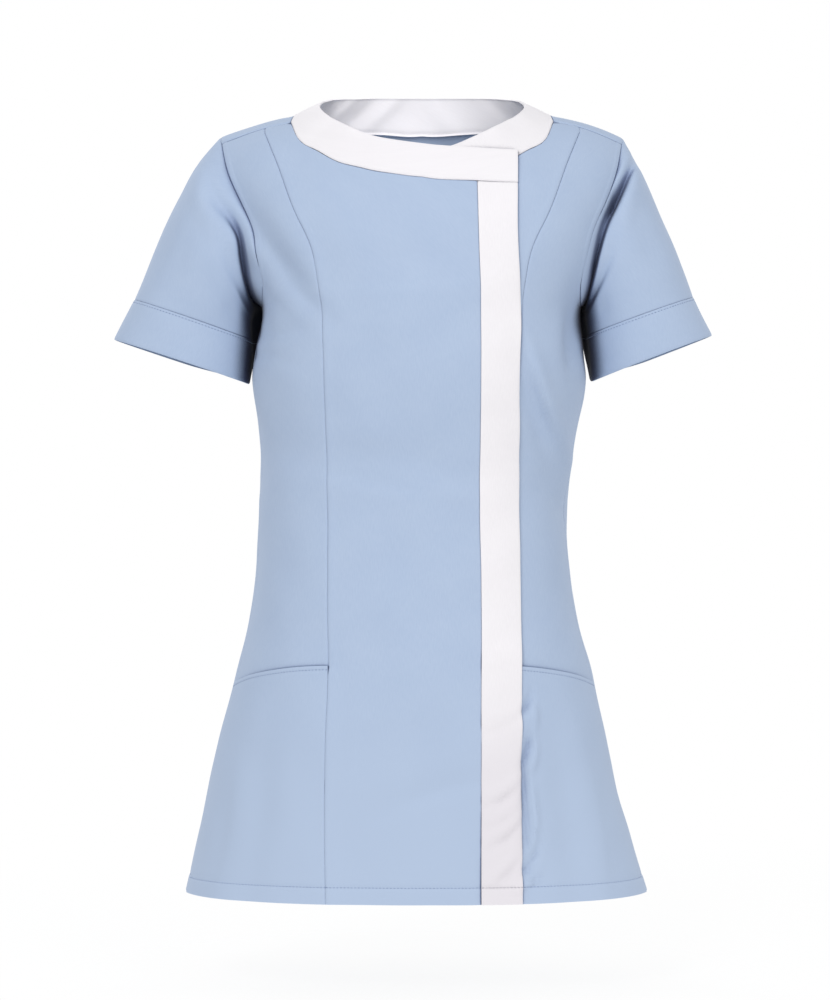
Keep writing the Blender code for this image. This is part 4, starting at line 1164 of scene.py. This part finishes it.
def neckband():
    last = float(UNDER_STOPS[-1] + BACK_STOPS[-1] + OVER_STOPS[-1])
    coarse = fine_stops(last, parts=STOP_PARTS)
    run = lengths_along(neck_strip(coarse, np.full(coarse.shape, 0.5))[0])
    stops = np.interp(graded(run[-1], FINE_STEP) * run[-1], run, coarse)
    rows = graded(NECKBAND_WIDTH, FINE_STEP)
    at, up = (grid.ravel() for grid in np.meshgrid(stops, rows))
    points, upwards, body_out, lift = neck_strip(at, up)
    before = neck_strip(np.clip(at - STOP_STEP, 0, last), up)[0]
    after = neck_strip(np.clip(at + STOP_STEP, 0, last), up)[0]
    band_out = unit(np.cross(unit(after - before), upwards))
    turned = ease(up / BAND_TURN)[:, None]
    out = unit(body_out * (1 - turned) + band_out * turned)
    sewn_gap = upwards * SEAM_GAP * (1 - ease(up / SEWN_SHARE))[:, None]
    crown = BAND_CROWN * np.sin(np.pi * up)
    for crease in NECK_CREASES:
        along = (at - crease.stop - crease.slant * (up - crease.up)) / crease.stop_span
        crown += crease.out * np.exp(-(along**2) - ((up - crease.up) / crease.up_span) ** 2)
    inner = (points + out * (lift + crown)[:, None] + sewn_gap).reshape(len(rows), len(stops), 3)
    left, right, low, high = distances(inner)
    relief = 0.5 * unevenness(inner) + seam(left) + seam(right) + seam(high) + seam(low)
    # The lower edge is turned under, and stands up as a thin ridge
    relief += EDGE_RIDGE * np.exp(-(((low - EDGE_RIDGE_AT) / EDGE_RIDGE_WIDTH) ** 2))
    cloth_piece("neckband", inner, BAND_WALL, relief, WHITE_TWILL)


FINE_SLEEVE_FOLDS = {
    -1: table(
        SLEEVE_FOLD_FIELDS,
        (30, 0.55, 14, 0.26, -0.0012), (62, 0.62, 10, 0.18, -0.0008), (128, 0.68, 10, 0.16, -0.001),
        (250, 0.4, 10, 0.3, -0.0013), (285, 0.55, 12, 0.25, 0.001),
    ),
    1: table(
        SLEEVE_FOLD_FIELDS,
        (60, 0.55, 12, 0.24, -0.0012), (130, 0.66, 9, 0.18, -0.001), (246, 0.42, 10, 0.3, -0.0012),
        (290, 0.52, 12, 0.26, 0.0011),
    ),
}

# Lengths, to space their rows, and the columns round them
SLEEVE_LENGTH = 0.16
CUFF_LENGTH = 0.042
SLEEVE_COLUMNS = 113
# Above the first reach the sleeve's rows are spaced for the tuck, down to those at the armhole's edge
TUCK_ABOVE = 0.18
TUCK_REACHES = np.linspace(0.165, 0.024, 18)
EDGE_ROWS = 4
# Over this much of the reach the sleeve's edge follows the body, and its own folds fade out
BESIDE_ARMHOLE = 0.05
FOLDS_FADE = 0.06
CUFF_STITCHES = 0.0025


def sleeve_grid(side, length, step=STEP):
    """Turn and reach over a sleeve or cuff: rows go up from its end, and columns to its left from outside."""
    shares = np.linspace(0, 1, SLEEVE_COLUMNS)
    reaches = 1 - graded(length, step)
    if length == SLEEVE_LENGTH:
        reaches = np.concatenate([reaches[reaches > TUCK_ABOVE], TUCK_REACHES, reaches[-EDGE_ROWS:]])
    share, reach = np.meshgrid(shares if side > 0 else 1 - shares, reaches)
    return sleeve_turn(share), reach


def sleeve(side, hand):
    turn, reach = sleeve_grid(side, SLEEVE_LENGTH)
    flat_turn, flat_reach = turn.ravel(), reach.ravel()
    outer = sleeve_surface(side, flat_turn, flat_reach)
    _, body_out, beyond = armhole_edge(side, flat_turn)
    beside = (1 - ease(flat_reach / BESIDE_ARMHOLE))[:, None]
    outer = (outer + beyond * beside * SEAM_GAP).reshape(*turn.shape, 3)
    # At the armhole the cloth's thickness lies the body's way, so that the two edges meet
    beside = beside.reshape(*turn.shape, 1)
    normals = unit(grid_normals(outer, tube=True) * (1 - beside) + body_out.reshape(*turn.shape, 3) * beside)
    inner = outer - normals * WALL
    _, _, up, down = distances(outer)
    # The creases of the panels run on over the armhole's seam
    front = np.mod(turn, 360) < 180
    creases = np.where(front, fold_height(outer, FRONT_CREASES), fold_height(outer, BACK_CREASES))
    push = sleeve_push(FINE_SLEEVE_FOLDS[side], turn, reach)
    relief = push * ease(reach / FOLDS_FADE) + creases * beside[..., 0]
    relief += unevenness(outer) + seam(down) + CUFF_SEAM * seam(up)
    inner[0] += unit(inner[1] - inner[0]) * SEAM_GAP / 2
    cloth_piece("sleeve_" + hand, inner, WALL, relief, BLUE_TWILL, tube=True, normals=normals)


def cuff(side, hand):
    turn, reach = sleeve_grid(side, CUFF_LENGTH, FINE_STEP)
    outer = cuff_surface(side, turn.ravel(), reach.ravel()).reshape(*turn.shape, 3)
    inner = outer + grid_normals(outer, tube=True) * (CUFF_PROUD - CUFF_WALL)
    _, _, up, down = distances(outer)
    relief = unevenness(outer) + seam(up) + CUFF_SEAM * seam(down)
    relief += LIGHT_STITCHES * stitched_line(down - CUFF_STITCHES)
    inner[-1] -= unit(inner[-1] - inner[-2]) * SEAM_GAP / 2
    cloth_piece("cuff_" + hand, inner, CUFF_WALL, relief, BLUE_TWILL, tube=True)


front_panels()
back_panel()
neckband()
for side, hand in SIDES:
    sleeve(side, hand)
    cuff(side, hand)


FROM_LOW, FROM_TOP = 2, 3


def row_line(name, edge, distance):
    """The row of a piece nearest to this distance from its lower or upper edge: points and normals."""
    points, normals = SEWN[name]
    row = int(np.argmin(np.abs(distances(points)[edge].mean(axis=1) - distance)))
    return points[row], normals[row]


hem_pieces = ("front_over", "back", "pocket_right", "pocket_left")
stitches("hem_stitches", [row_line(name, FROM_LOW, HEM_FOLD) for name in hem_pieces], BLUE_THREAD)
stitches("band_stitches", [row_line("placket_band", FROM_LOW, HEM_FOLD)], WHITE_THREAD)
for rows, piece, depth in (("mouth", "pocket_", MOUTH_HEM), ("cuff", "cuff_", CUFF_STITCHES)):
    stitches(rows + "_stitches", [row_line(piece + hand, FROM_TOP, depth) for _, hand in SIDES], BLUE_THREAD)


FLOOR = -0.80
FLOOR_SIZE = 2.0
FLOOR_SIDES = 96
FLOOR_FADE = (0.6, 1.6)
FLOOR_LIT = 0.88
AMBIENT = 0.63
AMBIENT_COLOUR = (0.98, 0.99, 1.0, 1)
PURE_WHITE = (1, 1, 1, 1)
AIM = Vector((0, 0, -0.35))
Light = namedtuple("Light", "name place size power")
LIGHTS = (
    Light("key", (-1.1, -2.7, 1.5), 1.2, 37.0),
    Light("fill", (1.6, -2.6, 0.5), 1.6, 22.0),
    Light("back_left", (-1.8, 2.4, 1.1), 1.6, 24.0),
    Light("back_right", (1.8, 2.6, 0.6), 1.6, 18.0),
)
NECK_LAMP = Light("neck", (0, -0.45, 0.42), 0.05, 8.5)
NECK_LAMP_ANGLE = 18


def paper():
    """Matt white paper, lit from below. It fades out with distance so that it has no edge."""
    material, tree = new_material("matt_white_paper")
    place = add(tree, "TexCoord").outputs["Object"]
    distance = add(tree, "VectorMath", {"operation": "LENGTH"}, {0: place}).outputs["Value"]
    span = {"From Min": FLOOR_FADE[0], "From Max": FLOOR_FADE[1]}
    fade = add(tree, "MapRange", span, {"Value": distance}).outputs[0]
    matt = add(tree, "BsdfDiffuse", {"Color": PURE_WHITE}).outputs[0]
    lit = add(tree, "Emission", {"Color": PURE_WHITE, "Strength": 1.0}).outputs[0]
    white = add(tree, "MixShader", {0: FLOOR_LIT}, {1: matt, 2: lit}).outputs[0]
    clear = add(tree, "BsdfTransparent").outputs[0]
    mixed = add(tree, "MixShader", {}, {0: fade, 1: white, 2: clear})
    add(tree, "OutputMaterial", {}, {"Surface": mixed.outputs[0]})
    return material


def studio():
    mesh = bmesh.new()
    bmesh.ops.create_circle(mesh, cap_ends=True, segments=FLOOR_SIDES, radius=FLOOR_SIZE)
    bmesh.ops.translate(mesh, verts=mesh.verts[:], vec=(0, 0, FLOOR))
    to_object("floor", mesh, paper())

    # Everything round the garment gives soft light, and the camera sees it as plain white
    world = bpy.data.worlds.new("studio")
    world.use_nodes = True
    tree = world.node_tree
    tree.nodes.clear()
    glow = add(tree, "Background", {"Color": AMBIENT_COLOUR, "Strength": AMBIENT}).outputs[0]
    white = add(tree, "Background", {"Color": PURE_WHITE, "Strength": 1.0}).outputs[0]
    seen = add(tree, "LightPath").outputs["Is Camera Ray"]
    either = add(tree, "MixShader", {}, {0: seen, 1: glow, 2: white})
    add(tree, "OutputWorld", {}, {"Surface": either.outputs[0]})
    bpy.context.scene.world = world
    bpy.context.scene.view_settings.view_transform = "Standard"

    for name, place, size, power in LIGHTS:
        light = bpy.data.lights.new(name, "AREA")
        light.shape = "DISK"
        light.size = size
        hang_lamp(light, place, power, AIM - Vector(place))

    # A narrow lamp shines down through the neck opening onto the inside of the neckband
    light = bpy.data.lights.new(NECK_LAMP.name, "SPOT")
    light.spot_size = np.radians(NECK_LAMP_ANGLE)
    light.spot_blend = 1.0
    light.shadow_soft_size = NECK_LAMP.size
    hang_lamp(light, NECK_LAMP.place, NECK_LAMP.power, Vector((0, 0.50, -0.42)))


def hang_lamp(light, place, power, towards):
    light.energy = power
    lamp = link_object(light.name, light)
    lamp.location = place
    lamp.rotation_euler = towards.to_track_quat("-Z", "Y").to_euler()


studio()

# The photograph's viewpoint: level with the waist, 3 m in front, and 0.93 m high in view at the origin
camera = bpy.data.cameras.new("camera")
camera.sensor_fit = "VERTICAL"
camera.sensor_width = 36
camera.sensor_height = 36
camera.lens = 116.13
camera.clip_start = 0.1
camera.clip_end = 50
viewer = link_object("camera", camera)
viewer.location = (0, -3.0, -0.355)
viewer.rotation_euler = (np.radians(90), 0, 0)
bpy.context.scene.camera = viewer

bpy.context.view_layer.update()
